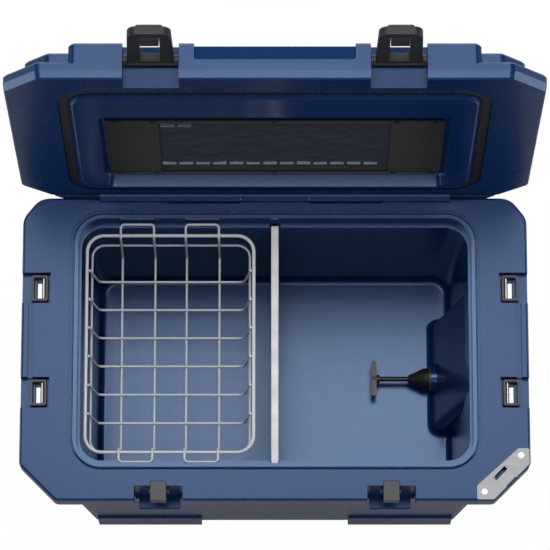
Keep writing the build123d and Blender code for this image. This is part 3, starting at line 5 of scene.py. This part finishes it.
import bpy
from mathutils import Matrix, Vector


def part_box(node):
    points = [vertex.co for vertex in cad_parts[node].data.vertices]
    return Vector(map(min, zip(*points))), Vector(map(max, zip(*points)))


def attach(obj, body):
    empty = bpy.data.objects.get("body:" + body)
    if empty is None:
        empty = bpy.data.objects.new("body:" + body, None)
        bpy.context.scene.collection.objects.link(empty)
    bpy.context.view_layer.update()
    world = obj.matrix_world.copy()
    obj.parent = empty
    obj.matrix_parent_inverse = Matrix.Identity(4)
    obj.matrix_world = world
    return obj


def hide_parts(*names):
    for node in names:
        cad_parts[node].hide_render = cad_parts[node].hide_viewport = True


bl_info = {
    "name": "Hard-Sided Cooler Box",
    "version": (1, 0, 0),
    "blender": (4, 5, 0),
    "location": "View3D > Sidebar > Cooler",
    "description": "Finishes the packed cooler box model and sets its stage",
    "category": "Object",
}

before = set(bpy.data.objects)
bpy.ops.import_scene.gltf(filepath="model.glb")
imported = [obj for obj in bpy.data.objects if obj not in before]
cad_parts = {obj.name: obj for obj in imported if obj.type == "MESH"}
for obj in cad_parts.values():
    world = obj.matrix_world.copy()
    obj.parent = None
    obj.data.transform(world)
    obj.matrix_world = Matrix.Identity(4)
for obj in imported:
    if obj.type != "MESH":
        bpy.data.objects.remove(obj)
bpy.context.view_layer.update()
LEAN = math.radians(95.2 - 90.0)  # lid lean past upright at rest
LID_UP = Vector((0.0, math.sin(LEAN), math.cos(LEAN)))  # along the open lid, hinge to front edge
LID_OUT = Vector((0.0, -math.cos(LEAN), math.sin(LEAN)))  # out of the lid's underside


# ---------------------------------------------------------------- helpers
def linear(hex_colour):
    """sRGB hex to a linear RGBA colour."""
    parts = [int(hex_colour[i:i + 2], 16) / 255 for i in (1, 3, 5)]
    parts = [p / 12.92 if p <= 0.04045 else ((p + 0.055) / 1.055) ** 2.4 for p in parts]
    return (*parts, 1.0)


def prop_colour(hex_colour, name, description):
    """Colour property that shows in the panel."""
    return bpy.props.FloatVectorProperty(name=name, description=description, subtype="COLOR", size=4,
                                         min=0.0, max=1.0, default=linear(hex_colour))


def add_node(material, kind, links=(), **settings):
    """Adds a node, sets its attributes or inputs, and links (from node, output, input) triples to it."""
    node = material.node_tree.nodes.new(kind)
    for key, value in settings.items():
        if hasattr(node, key):
            setattr(node, key, value)
        else:
            node.inputs[key.replace("_", " ")].default_value = value
    for source, output, target in links:
        material.node_tree.links.new(source.outputs[output], node.inputs[target])
    return node


def new_material(name, colour, roughness, metallic=0.0):
    """Material with one Principled shader; returns it and its shader node."""
    material = bpy.data.materials.new(name)
    material.use_nodes = True
    shader = material.node_tree.nodes["Principled BSDF"]
    shader.inputs["Base Color"].default_value = colour
    shader.inputs["Roughness"].default_value = roughness
    shader.inputs["Metallic"].default_value = metallic
    return material, shader


def link(material, source, output, target, socket):
    """Links two nodes' sockets."""
    material.node_tree.links.new(source.outputs[output], target.inputs[socket])


def ramp_stops(node, stops):
    """Sets a colour ramp's stops, as (position, colour) pairs."""
    elements = node.color_ramp.elements
    while len(elements) > 1:
        elements.remove(elements[-1])
    elements[0].position, elements[0].color = stops[0]
    for position, colour in stops[1:]:
        elements.new(position).color = colour


def scaled(colour, factor):
    """A colour made lighter or darker."""
    return (*(min(1.0, c * factor) for c in colour[:3]), 1.0)


def give(material, *names):
    """Assigns one material to CAD nodes."""
    for name in names:
        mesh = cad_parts[name].data
        mesh.materials.clear()
        mesh.materials.append(material)


def nodes_starting(*prefixes):
    """Names of the CAD nodes with one of these beginnings."""
    return [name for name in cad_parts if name.startswith(prefixes)]


def only(obj):
    """Deselects everything else and makes obj active."""
    bpy.ops.object.select_all(action="DESELECT")
    obj.select_set(True)
    bpy.context.view_layer.objects.active = obj


def settle(obj, name, material, body, angle=35.0):
    """Applies a piece's place, names it, smooths it, gives its material and rides it on its body."""
    only(obj)
    bpy.ops.object.transform_apply(location=True, rotation=True, scale=True)
    obj.name = name
    obj.data.name = name
    obj.data.materials.clear()
    obj.data.materials.append(material)
    if angle:
        bpy.ops.object.shade_smooth_by_angle(angle=math.radians(angle))
    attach(obj, body)
    return obj


# ---------------------------------------------------------------- sizes and colours a user may change
class CoolerColours(bpy.types.PropertyGroup):
    """Colours of the finishes."""

    moulding: prop_colour("#0A2B5A", "Moulding", "Navy polyethylene of the tub and lid")
    foam: prop_colour("#E9E0B8", "Foam", "Insulation between the skins")
    rubber: prop_colour("#0E0E10", "Rubber", "Gasket, feet and stopper")
    latch: prop_colour("#121317", "Latch", "Latch levers and pawls")
    nylon: prop_colour("#3C3D40", "Fittings", "Keepers and tie-down frames")
    stainless: prop_colour("#C2C4C6", "Stainless steel", "Opener plate, pins and screws")
    wire: prop_colour("#CDD2D6", "Basket wire", "Coating of the basket wire")
    divider: prop_colour("#E2E3E7", "Divider", "Divider panel")
    webbing: prop_colour("#070709", "Webbing", "Woven end panels and bindings of the pocket")
    netting: prop_colour("#071226", "Netting", "Knitted net of the pocket")
    thread: prop_colour("#9AA6B4", "Thread", "Stitches of the pocket")
    floor: prop_colour("#F4F4F4", "Floor", "Studio floor")


class CoolerSizes(bpy.types.PropertyGroup):
    """Sizes of the sewn pocket and the surface textures."""

    sheet: bpy.props.FloatProperty(name="Pocket height", description="How far the pocket's edges stand out",
                                   default=0.0025, unit="LENGTH")
    webbing: bpy.props.FloatProperty(name="Webbing", description="Thickness of the pocket's end panels",
                                     default=0.0018, unit="LENGTH")
    net: bpy.props.FloatProperty(name="Net", description="Thickness of the pocket's netting",
                                 default=0.0008, unit="LENGTH")
    ripple: bpy.props.FloatProperty(name="Net ripple", description="How far the loose net stands out",
                                    default=0.0045, unit="LENGTH")
    stitch: bpy.props.FloatProperty(name="Stitch", description="Length of one visible stitch",
                                    default=0.021, unit="LENGTH")
    stitch_pitch: bpy.props.FloatProperty(name="Stitch pitch", description="Distance between stitches",
                                          default=0.0265, unit="LENGTH")
    thread: bpy.props.FloatProperty(name="Thread", description="Radius of the sewing thread",
                                    default=0.0007, unit="LENGTH")
    seam_up: bpy.props.FloatProperty(name="Lower seam", description="Long seam above the pocket's lower edge",
                                     default=0.051, unit="LENGTH")
    seam_in: bpy.props.FloatProperty(name="Upper seam", description="Short seam below the upper binding",
                                     default=0.005, unit="LENGTH")
    grain: bpy.props.FloatProperty(name="Moulding grain", description="Size of the moulded surface grain",
                                   default=0.004, unit="LENGTH")


# ---------------------------------------------------------------- materials
def moulded_polyethylene(colours, sizes, name, roughness, shine, grain_depth):
    """Rotationally moulded polyethylene: dark navy with a soft bluish gloss, faintly mottled and grained."""
    base = colours.moulding
    material, shader = new_material(name, base, roughness)
    shader.inputs["IOR"].default_value = 1.51
    shader.inputs["Specular IOR Level"].default_value = shine
    shader.inputs["Specular Tint"].default_value = linear("#B2D0F8")
    place = add_node(material, "ShaderNodeTexCoord")
    # mottling about 110 mm across, from uneven melting in the mould
    mottle = add_node(material, "ShaderNodeTexNoise", [(place, "Object", "Vector")], Scale=9.0, Detail=3.0)
    tint = add_node(material, "ShaderNodeValToRGB", [(mottle, "Fac", "Fac")])
    ramp_stops(tint, [(0.3, scaled(base, 0.93)), (0.7, scaled(base, 1.07))])
    link(material, tint, "Color", shader, "Base Color")
    grain = add_node(material, "ShaderNodeTexNoise", [(place, "Object", "Vector")],
                     Scale=1.0 / sizes.grain, Detail=2.0, Roughness=0.6)
    bump = add_node(material, "ShaderNodeBump", [(grain, "Fac", "Height")], Strength=grain_depth,
                    Distance=0.0006)
    link(material, bump, "Normal", shader, "Normal")
    gloss = add_node(material, "ShaderNodeMapRange", [(grain, "Fac", "Value")])
    gloss.inputs["To Min"].default_value = roughness - 0.06
    gloss.inputs["To Max"].default_value = roughness + 0.07
    link(material, gloss, "Result", shader, "Roughness")
    return material


def grained_plastic(name, colour, roughness, grain=0.0018, depth=0.12):
    """Injection moulded plastic or rubber with a fine spark-eroded grain."""
    material, shader = new_material(name, colour, roughness)
    place = add_node(material, "ShaderNodeTexCoord")
    noise = add_node(material, "ShaderNodeTexNoise", [(place, "Object", "Vector")],
                     Scale=1.0 / grain, Detail=2.0)
    bump = add_node(material, "ShaderNodeBump", [(noise, "Fac", "Height")], Strength=depth, Distance=0.0003)
    link(material, bump, "Normal", shader, "Normal")
    # handling wear in patches of about 30 mm
    wear = add_node(material, "ShaderNodeTexNoise", [(place, "Object", "Vector")], Scale=35.0, Detail=2.0)
    tint = add_node(material, "ShaderNodeValToRGB", [(wear, "Fac", "Fac")])
    ramp_stops(tint, [(0.3, scaled(colour, 0.9)), (0.7, scaled(colour, 1.12))])
    link(material, tint, "Color", shader, "Base Color")
    return material


def brushed_steel(name, colour, roughness):
    """Stainless sheet or rod: metal with a fine directional brushing."""
    material, shader = new_material(name, colour, roughness, metallic=1.0)
    place = add_node(material, "ShaderNodeTexCoord")
    turn = add_node(material, "ShaderNodeMapping", [(place, "Object", "Vector")])
    turn.inputs["Rotation"].default_value = (0.0, 0.0, math.radians(-45))
    turn.inputs["Scale"].default_value = (40.0, 900.0, 900.0)  # strokes 25 mm long and 1.1 mm apart
    lines = add_node(material, "ShaderNodeTexNoise", [(turn, "Vector", "Vector")], Scale=1.0, Detail=2.0)
    bump = add_node(material, "ShaderNodeBump", [(lines, "Fac", "Height")], Strength=0.06, Distance=0.0002)
    link(material, bump, "Normal", shader, "Normal")
    gloss = add_node(material, "ShaderNodeMapRange", [(lines, "Fac", "Value")])
    gloss.inputs["To Min"].default_value = roughness - 0.06
    gloss.inputs["To Max"].default_value = roughness + 0.08
    link(material, gloss, "Result", shader, "Roughness")
    return material


def dipped_wire(colours):
    """Wire dipped in smooth vinyl: glossy, with faint runs about 8 mm long."""
    material, shader = new_material("vinyl dipped wire", colours.wire, 0.32)
    shader.inputs["Coat Weight"].default_value = 0.35
    shader.inputs["Coat Roughness"].default_value = 0.15
    place = add_node(material, "ShaderNodeTexCoord")
    runs = add_node(material, "ShaderNodeTexNoise", [(place, "Object", "Vector")], Scale=120.0, Detail=1.0)
    bump = add_node(material, "ShaderNodeBump", [(runs, "Fac", "Height")], Strength=0.1, Distance=0.0003)
    link(material, bump, "Normal", shader, "Normal")
    return material


def foamed_urethane(colours):
    """Poured urethane foam: pale, matt and finely cellular, with cells of about 2.5 mm."""
    material, shader = new_material("urethane foam", colours.foam, 0.9)
    place = add_node(material, "ShaderNodeTexCoord")
    cells = add_node(material, "ShaderNodeTexVoronoi", [(place, "Object", "Vector")], Scale=400.0)
    bump = add_node(material, "ShaderNodeBump", [(cells, "Distance", "Height")], Strength=0.4,
                    Distance=0.0008)
    link(material, bump, "Normal", shader, "Normal")
    return material


def woven_webbing(colours):
    """Polyester webbing, plain weave of 1.6 mm yarns: matt with a soft sheen."""
    material, shader = new_material("polyester webbing", colours.webbing, 0.85)
    shader.inputs["Sheen Weight"].default_value = 0.08
    shader.inputs["Sheen Roughness"].default_value = 0.5
    place = add_node(material, "ShaderNodeTexCoord")
    lean = add_node(material, "ShaderNodeMapping", [(place, "Object", "Vector")])
    lean.inputs["Rotation"].default_value = (LEAN, 0.0, 0.0)
    across = add_node(material, "ShaderNodeTexWave", [(lean, "Vector", "Vector")], bands_direction="X",
                      Scale=100.0, Distortion=0.6, Detail=1.0)
    along = add_node(material, "ShaderNodeTexWave", [(lean, "Vector", "Vector")], bands_direction="Z",
                     Scale=100.0, Distortion=0.6, Detail=1.0)
    weave = add_node(material, "ShaderNodeMath", [(across, "Fac", 0), (along, "Fac", 1)],
                     operation="MULTIPLY")
    tint = add_node(material, "ShaderNodeValToRGB", [(weave, "Value", "Fac")])
    ramp_stops(tint, [(0.0, scaled(colours.webbing, 0.7)), (1.0, scaled(colours.webbing, 1.5))])
    link(material, tint, "Color", shader, "Base Color")
    bump = add_node(material, "ShaderNodeBump", [(weave, "Value", "Height")], Strength=0.5, Distance=0.0005)
    link(material, bump, "Normal", shader, "Normal")
    return material


def knitted_net(colours):
    """Warp-knitted net: dark holes of about 11 by 5 mm, drawn as coarse as it needs to show."""
    material, shader = new_material("knitted net", colours.netting, 0.8)
    shader.inputs["Sheen Weight"].default_value = 0.05
    place = add_node(material, "ShaderNodeTexCoord")
    stretch = add_node(material, "ShaderNodeMapping", [(place, "Object", "Vector")])
    stretch.inputs["Scale"].default_value = (90.0, 90.0, 220.0)
    cells = add_node(material, "ShaderNodeTexVoronoi", [(stretch, "Vector", "Vector")],
                     feature="DISTANCE_TO_EDGE", Scale=1.0, Randomness=0.7)
    tint = add_node(material, "ShaderNodeValToRGB", [(cells, "Distance", "Fac")])
    ramp_stops(tint, [(0.0, scaled(colours.netting, 2.6)), (0.1, scaled(colours.netting, 1.5)),
                      (0.3, scaled(colours.netting, 0.35))])
    patches = add_node(material, "ShaderNodeTexNoise", [(stretch, "Vector", "Vector")],
                       Scale=0.12, Detail=2.0)
    shade = add_node(material, "ShaderNodeMix", [(tint, "Color", "A"), (patches, "Fac", "Factor")],
                     data_type="RGBA", blend_type="MULTIPLY")
    shade.inputs["B"].default_value = (0.55, 0.6, 0.7, 1.0)
    link(material, shade, "Result", shader, "Base Color")
    bump = add_node(material, "ShaderNodeBump", [(cells, "Distance", "Height")], Strength=0.7,
                    Distance=0.0008)
    bump.invert = True
    link(material, bump, "Normal", shader, "Normal")
    return material


def twisted_thread(colours):
    """Bonded polyester thread: pale with a tight twist."""
    material, shader = new_material("bonded thread", colours.thread, 0.6)
    place = add_node(material, "ShaderNodeTexCoord")
    twist = add_node(material, "ShaderNodeTexWave", [(place, "Object", "Vector")], bands_direction="DIAGONAL",
                     Scale=500.0)
    bump = add_node(material, "ShaderNodeBump", [(twist, "Fac", "Height")], Strength=0.4, Distance=0.0002)
    link(material, bump, "Normal", shader, "Normal")
    return material


def background_share(owner, seen, mirrored):
    """How much plain background a ray meets: the camera's and refracted rays seen, glossy rays mirrored."""
    path = add_node(owner, "ShaderNodeLightPath")
    direct = add_node(owner, "ShaderNodeMath", [(path, "Is Camera Ray", 0), (path, "Is Transmission Ray", 1)],
                      operation="MAXIMUM")
    full = add_node(owner, "ShaderNodeMath", [(direct, "Value", 0)], operation="MULTIPLY")
    full.inputs[1].default_value = seen
    gloss = add_node(owner, "ShaderNodeMath", [(path, "Is Glossy Ray", 0)], operation="MULTIPLY")
    gloss.inputs[1].default_value = mirrored
    return add_node(owner, "ShaderNodeMath", [(full, "Value", 0), (gloss, "Value", 1)], operation="MAXIMUM")


def studio_floor(colours):
    """Painted studio floor: pale, matt, lit enough of itself to read as plain background round the shadow."""
    material, shader = new_material("painted floor", scaled(colours.floor, 0.4), 0.9)
    shader.inputs["Specular IOR Level"].default_value = 0.0
    glow = add_node(material, "ShaderNodeEmission", Strength=1.08)
    share = background_share(material, 0.9, 0.12)
    mixed = add_node(material, "ShaderNodeMixShader", [(share, "Value", 0), (shader, "BSDF", 1),
                                                       (glow, "Emission", 2)])
    link(material, mixed, "Shader", material.node_tree.nodes["Material Output"], "Surface")
    return material


def world_light(scene):
    """Faint even light from all round, seen as plain white by the camera and dimly in reflections."""
    world = bpy.data.worlds.new("studio")
    world.use_nodes = True
    scene.world = world
    background = world.node_tree.nodes["Background"]
    background.inputs["Color"].default_value = (1.0, 1.0, 1.0, 1.0)
    strength = add_node(world, "ShaderNodeMapRange", [(background_share(world, 1.0, 0.12), "Value", "Value")])
    strength.inputs["To Min"].default_value = 0.06
    strength.inputs["To Max"].default_value = 1.0
    link(world, strength, "Result", background, "Strength")


# ---------------------------------------------------------------- the sewn pocket on the open lid
def pocket_spot(sizes, x, up, out):
    """Point on the open lid: along X, up the lid from the pocket's lower edge, and out of its back."""
    low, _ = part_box("pocket_binding_rear")
    corner = Vector((x, low[1] + sizes.sheet * math.cos(LEAN), low[2]))
    return corner + LID_UP * up + LID_OUT * out


def pocket_height():
    """Length of the pocket up the lid."""
    low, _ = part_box("pocket_binding_rear")
    _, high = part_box("pocket_binding_front")
    return (high[2] - low[2] - bpy.context.scene.cooler_sizes.sheet * math.sin(LEAN)) / math.cos(LEAN)


def lid_block(sizes, x0, x1, up0, up1, out0, out1, bevel):
    """Rounded block lying on the open lid."""
    centre = pocket_spot(sizes, (x0 + x1) / 2, (up0 + up1) / 2, (out0 + out1) / 2)
    bpy.ops.object.select_all(action="DESELECT")
    bpy.ops.mesh.primitive_cube_add(size=1.0, location=centre, rotation=(-LEAN, 0.0, 0.0))
    obj = bpy.context.object
    obj.scale = (x1 - x0, out1 - out0, up1 - up0)
    bpy.ops.object.transform_apply(location=False, rotation=False, scale=True)
    bpy.ops.object.mode_set(mode="EDIT")
    bpy.ops.mesh.select_all(action="SELECT")
    bpy.ops.mesh.bevel(offset=bevel, segments=3, affect="EDGES")
    bpy.ops.object.mode_set(mode="OBJECT")
    return obj


def lid_grid(sizes, x0, x1, up0, up1, out, step):
    """Fine flat grid lying on the open lid, facing out of it, with a group that is weak at its edges."""
    centre = pocket_spot(sizes, (x0 + x1) / 2, (up0 + up1) / 2, out)
    width, height = x1 - x0, up1 - up0
    bpy.ops.object.select_all(action="DESELECT")
    bpy.ops.mesh.primitive_grid_add(x_subdivisions=round(width / step), y_subdivisions=round(height / step),
                                    size=1.0, location=centre, rotation=(math.pi / 2 - LEAN, 0.0, 0.0))
    obj = bpy.context.object
    obj.scale = (width, height, 1.0)
    bpy.ops.object.transform_apply(location=False, rotation=False, scale=True)
    loose = obj.vertex_groups.new(name="loose")
    for vertex in obj.data.vertices:
        edge = min(width / 2 - abs(vertex.co.x), height / 2 - abs(vertex.co.y))
        loose.add([vertex.index], min(1.0, max(0.0, edge / 0.012)), "REPLACE")
    return obj


def rumple(obj, size, strength, centre=0.5):
    """Pushes a grid out in soft random waves, held at its edges."""
    texture = bpy.data.textures.new(obj.name + " waves", type="CLOUDS")
    texture.noise_scale = size
    only(obj)
    waves = obj.modifiers.new("waves", "DISPLACE")
    waves.texture = texture
    waves.texture_coords = "LOCAL"
    waves.strength = strength
    waves.mid_level = centre
    waves.vertex_group = "loose"
    bpy.ops.object.modifier_apply(modifier="waves")


def thicken(obj, thickness):
    """Gives a sheet its thickness, inward."""
    only(obj)
    wall = obj.modifiers.new("wall", "SOLIDIFY")
    wall.thickness = thickness
    wall.offset = -1.0
    bpy.ops.object.modifier_apply(modifier="wall")


def stitch_row(sizes, x0, count, up, name):
    """Row of long stitches standing on the net at one height, joined into one piece."""
    stitches = []
    for index in range(count):
        x = x0 + (index + 0.5) * sizes.stitch_pitch
        stitches.append(lid_block(sizes, x - sizes.stitch / 2, x + sizes.stitch / 2,
                                  up - sizes.thread, up + sizes.thread,
                                  out0=sizes.net / 2, out1=sizes.net + sizes.ripple + sizes.thread,
                                  bevel=sizes.thread * 0.6))
    bpy.ops.object.select_all(action="DESELECT")
    for stitch in stitches:
        stitch.select_set(True)
    bpy.context.view_layer.objects.active = stitches[0]
    bpy.ops.object.join()
    row = stitches[0]
    row.name = name
    return row


# ---------------------------------------------------------------- operators
class CoolerOperator:
    """Shared behaviour of the operators: they can be undone, and read the scene's sizes and colours."""

    bl_options = {"REGISTER", "UNDO"}

    @property
    def colours(self):
        return bpy.context.scene.cooler_colours

    @property
    def sizes(self):
        return bpy.context.scene.cooler_sizes


class COOLER_OT_mouldings(CoolerOperator, bpy.types.Operator):
    """Finish the tub and lid mouldings and the foam between their skins"""

    bl_idname = "cooler.mouldings"
    bl_label = "Mouldings"

    def execute(self, context):
        outer = moulded_polyethylene(self.colours, self.sizes, "moulded polyethylene",
                                     roughness=0.28, shine=0.5, grain_depth=0.07)
        inner = moulded_polyethylene(self.colours, self.sizes, "smooth moulded polyethylene",
                                     roughness=0.22, shine=0.75, grain_depth=0.03)
        give(outer, "tub_shell", "lid_shell")
        give(inner, "tub_liner", "lid_liner")
        give(foamed_urethane(self.colours), "tub_insulation", "lid_insulation")
        return {"FINISHED"}


class COOLER_OT_rubber(CoolerOperator, bpy.types.Operator):
    """Finish the gasket, feet, drain stopper and washer"""

    bl_idname = "cooler.rubber"
    bl_label = "Gasket, feet and stopper"

    def execute(self, context):
        rubber = grained_plastic("moulded rubber", self.colours.rubber, 0.62)
        give(rubber, "lid_gasket", "drain_washer", "drain_stopper",
             *nodes_starting("foot_front", "foot_rear"))
        return {"FINISHED"}


class COOLER_OT_fittings(CoolerOperator, bpy.types.Operator):
    """Finish the keepers, tie-down frames, drain tube, pull rod and T handle"""

    bl_idname = "cooler.fittings"
    bl_label = "Fittings"

    def execute(self, context):
        nylon = grained_plastic("glass filled nylon", self.colours.nylon, 0.48)
        give(nylon, "keeper_left", "keeper_right", "drain_tube", "drain_nut", *nodes_starting("anchor_frame"))
        acetal = grained_plastic("acetal", self.colours.rubber, 0.38, grain=0.0012, depth=0.06)
        give(acetal, "drain_t_handle", "drain_pull_rod")
        return {"FINISHED"}


class COOLER_OT_metalwork(CoolerOperator, bpy.types.Operator):
    """Finish the bottle opener plate, pins, bars, rivets and screws"""

    bl_idname = "cooler.metalwork"
    bl_label = "Metalwork"

    def execute(self, context):
        plate = brushed_steel("brushed stainless plate", scaled(self.colours.stainless, 0.5), 0.5)
        give(plate, "bottle_opener_plate")
        rods = brushed_steel("drawn stainless rod", scaled(self.colours.stainless, 0.6), 0.3)
        give(rods, "hinge_pin", "foot_screws", "keeper_screws", "opener_screws",
             *nodes_starting("anchor_bar"))
        black = brushed_steel("blackened steel", self.colours.nylon, 0.45)
        give(black, "hinge_pin_caps", "pocket_rivets", *nodes_starting("latch_pivot_pin", "latch_pawl_pin"))
        return {"FINISHED"}


class COOLER_OT_latches(CoolerOperator, bpy.types.Operator):
    """Finish the latch levers and their pawls"""

    bl_idname = "cooler.latches"
    bl_label = "Latches"

    def execute(self, context):
        give(grained_plastic("moulded latch rubber", self.colours.latch, 0.5), *nodes_starting("latch_lever"))
        give(grained_plastic("pawl nylon", scaled(self.colours.nylon, 0.55), 0.4),
             "latch_pawl_left", "latch_pawl_right")
        return {"FINISHED"}


class COOLER_OT_basket(CoolerOperator, bpy.types.Operator):
    """Finish the wire basket and the divider"""

    bl_idname = "cooler.basket"
    bl_label = "Basket and divider"

    def execute(self, context):
        give(dipped_wire(self.colours), *nodes_starting("basket_"))
        board = grained_plastic("moulded polypropylene", self.colours.divider, 0.5, grain=0.003, depth=0.1)
        give(board, "divider_panel")
        return {"FINISHED"}


class COOLER_OT_pocket(CoolerOperator, bpy.types.Operator):
    """Sew the pocket: end panels, loose net, turned bindings and visible stitches"""

    bl_idname = "cooler.pocket"
    bl_label = "Lid pocket"

    def execute(self, context):
        colours, sizes = self.colours, self.sizes
        webbing = woven_webbing(colours)
        tall = pocket_height()
        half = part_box("pocket_binding_rear")[1][0]
        net_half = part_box("pocket_mesh")[1][0]
        band = tall - (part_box("pocket_mesh")[1][2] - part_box("pocket_binding_rear")[0][2]) / math.cos(LEAN)

        net = lid_grid(sizes, -net_half, net_half, band, tall - band, sizes.net, step=0.003)
        rumple(net, size=0.022, strength=sizes.ripple, centre=0.25)
        rumple(net, size=0.007, strength=sizes.ripple / 3, centre=0.3)
        thicken(net, sizes.net)
        settle(net, "pocket_net", knitted_net(colours), "lid")
        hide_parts("pocket_mesh")

        thread = twisted_thread(colours)
        across = int(2 * net_half / sizes.stitch_pitch)
        rows = [stitch_row(sizes, -net_half, across, sizes.seam_up, "pocket_stitch_rear"),
                stitch_row(sizes, 0.001 - net_half, 2, tall - band - sizes.seam_in, "pocket_stitch_front")]
        for row in rows:
            settle(row, row.name, thread, "lid")

        for side, name in ((-1, "left"), (1, "right")):
            x0, x1 = sorted((side * net_half, side * half))
            panel = lid_grid(sizes, x0, x1, band, tall - band, sizes.sheet, step=0.006)
            rumple(panel, size=0.05, strength=0.0008, centre=0.6)
            thicken(panel, sizes.webbing)
            settle(panel, f"pocket_end_{name}", webbing, "lid")
            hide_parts(f"pocket_panel_{name}")

        for up0, up1, place in ((0.0, band, "rear"), (tall - band, tall, "front")):
            binding = lid_block(sizes, -half, half, up0, up1, out0=0.0002, out1=sizes.sheet + 0.0006,
                                bevel=0.0009)
            settle(binding, f"pocket_edge_{place}", webbing, "lid")
            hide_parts(f"pocket_binding_{place}")
        return {"FINISHED"}


class COOLER_OT_stage(CoolerOperator, bpy.types.Operator):
    """Lay the floor and set the lights, world and camera"""

    bl_idname = "cooler.stage"
    bl_label = "Stage"

    def execute(self, context):
        scene = context.scene
        bpy.ops.object.select_all(action="DESELECT")
        bpy.ops.mesh.primitive_plane_add(size=30.0)
        floor = context.object
        floor.name = "studio_floor"
        floor.data.materials.append(studio_floor(self.colours))
        self.softbox("overhead", (0.0, 0.78, 2.9), (0.0, 0.0, 0.0), (1.8, 1.5), 50.0)
        self.softbox("front_strip", (0.0, -1.1, 2.8), (math.radians(-20), 0.0, 0.0), (2.6, 0.4), 11.0)
        # weak upright panels round the box, so that its walls read from every side
        upright, reach, height = math.radians(90), 2.3, 0.6
        self.softbox("left_panel", (-reach, 0.0, height), (upright, 0.0, -upright), (1.8, 1.0), 26.0)
        self.softbox("right_panel", (reach, 0.0, height), (upright, 0.0, upright), (1.8, 1.0), 26.0)
        self.softbox("rear_panel", (0.0, reach, height), (-upright, 0.0, 0.0), (2.2, 1.0), 26.0)
        self.softbox("front_panel", (0.0, -reach, height), (upright, 0.0, 0.0), (2.2, 1.0), 8.5)
        world_light(scene)
        bpy.ops.object.camera_add(location=(0.0002, -1.2238, 5.867), rotation=(math.radians(13.73), 0.0, 0.0))
        camera = context.object
        camera.name = "camera"
        camera.data.lens = 229.6
        camera.data.sensor_width = 36.0
        camera.data.clip_end = 100.0
        scene.camera = camera
        scene.view_settings.view_transform = "Standard"
        return {"FINISHED"}

    @staticmethod
    def softbox(name, location, rotation, size, power):
        """Rectangular area lamp that the camera can't see."""
        bpy.ops.object.light_add(type="AREA", location=location, rotation=rotation)
        lamp = bpy.context.object
        lamp.name = name
        lamp.data.shape = "RECTANGLE"
        lamp.data.size, lamp.data.size_y = size
        lamp.data.energy = power
        lamp.visible_camera = False


class COOLER_PT_panel(bpy.types.Panel):
    """Sizes, colours and build steps of the cooler box"""

    bl_label = "Cooler Box"
    bl_space_type = "VIEW_3D"
    bl_region_type = "UI"
    bl_category = "Cooler"

    def draw(self, context):
        layout = self.layout
        for operator in OPERATORS:
            layout.operator(operator.bl_idname)
        for group in (context.scene.cooler_sizes, context.scene.cooler_colours):
            box = layout.box()
            for name in group.__annotations__:
                box.prop(group, name)


OPERATORS = (COOLER_OT_mouldings, COOLER_OT_rubber, COOLER_OT_fittings, COOLER_OT_metalwork,
             COOLER_OT_latches, COOLER_OT_basket, COOLER_OT_pocket, COOLER_OT_stage)
CLASSES = (CoolerColours, CoolerSizes, *OPERATORS, COOLER_PT_panel)


def register():
    """Registers the classes and their settings on the scene."""
    for cls in CLASSES:
        bpy.utils.register_class(cls)
    bpy.types.Scene.cooler_colours = bpy.props.PointerProperty(type=CoolerColours)
    bpy.types.Scene.cooler_sizes = bpy.props.PointerProperty(type=CoolerSizes)


def unregister():
    """Removes the settings and the classes."""
    del bpy.types.Scene.cooler_sizes
    del bpy.types.Scene.cooler_colours
    for cls in reversed(CLASSES):
        bpy.utils.unregister_class(cls)


def main():
    """Builds everything in order."""
    register()
    bpy.ops.cooler.mouldings()
    bpy.ops.cooler.rubber()
    bpy.ops.cooler.fittings()
    bpy.ops.cooler.metalwork()
    bpy.ops.cooler.latches()
    bpy.ops.cooler.basket()
    bpy.ops.cooler.pocket()
    bpy.ops.cooler.stage()


if __name__ == "__main__":
    main()
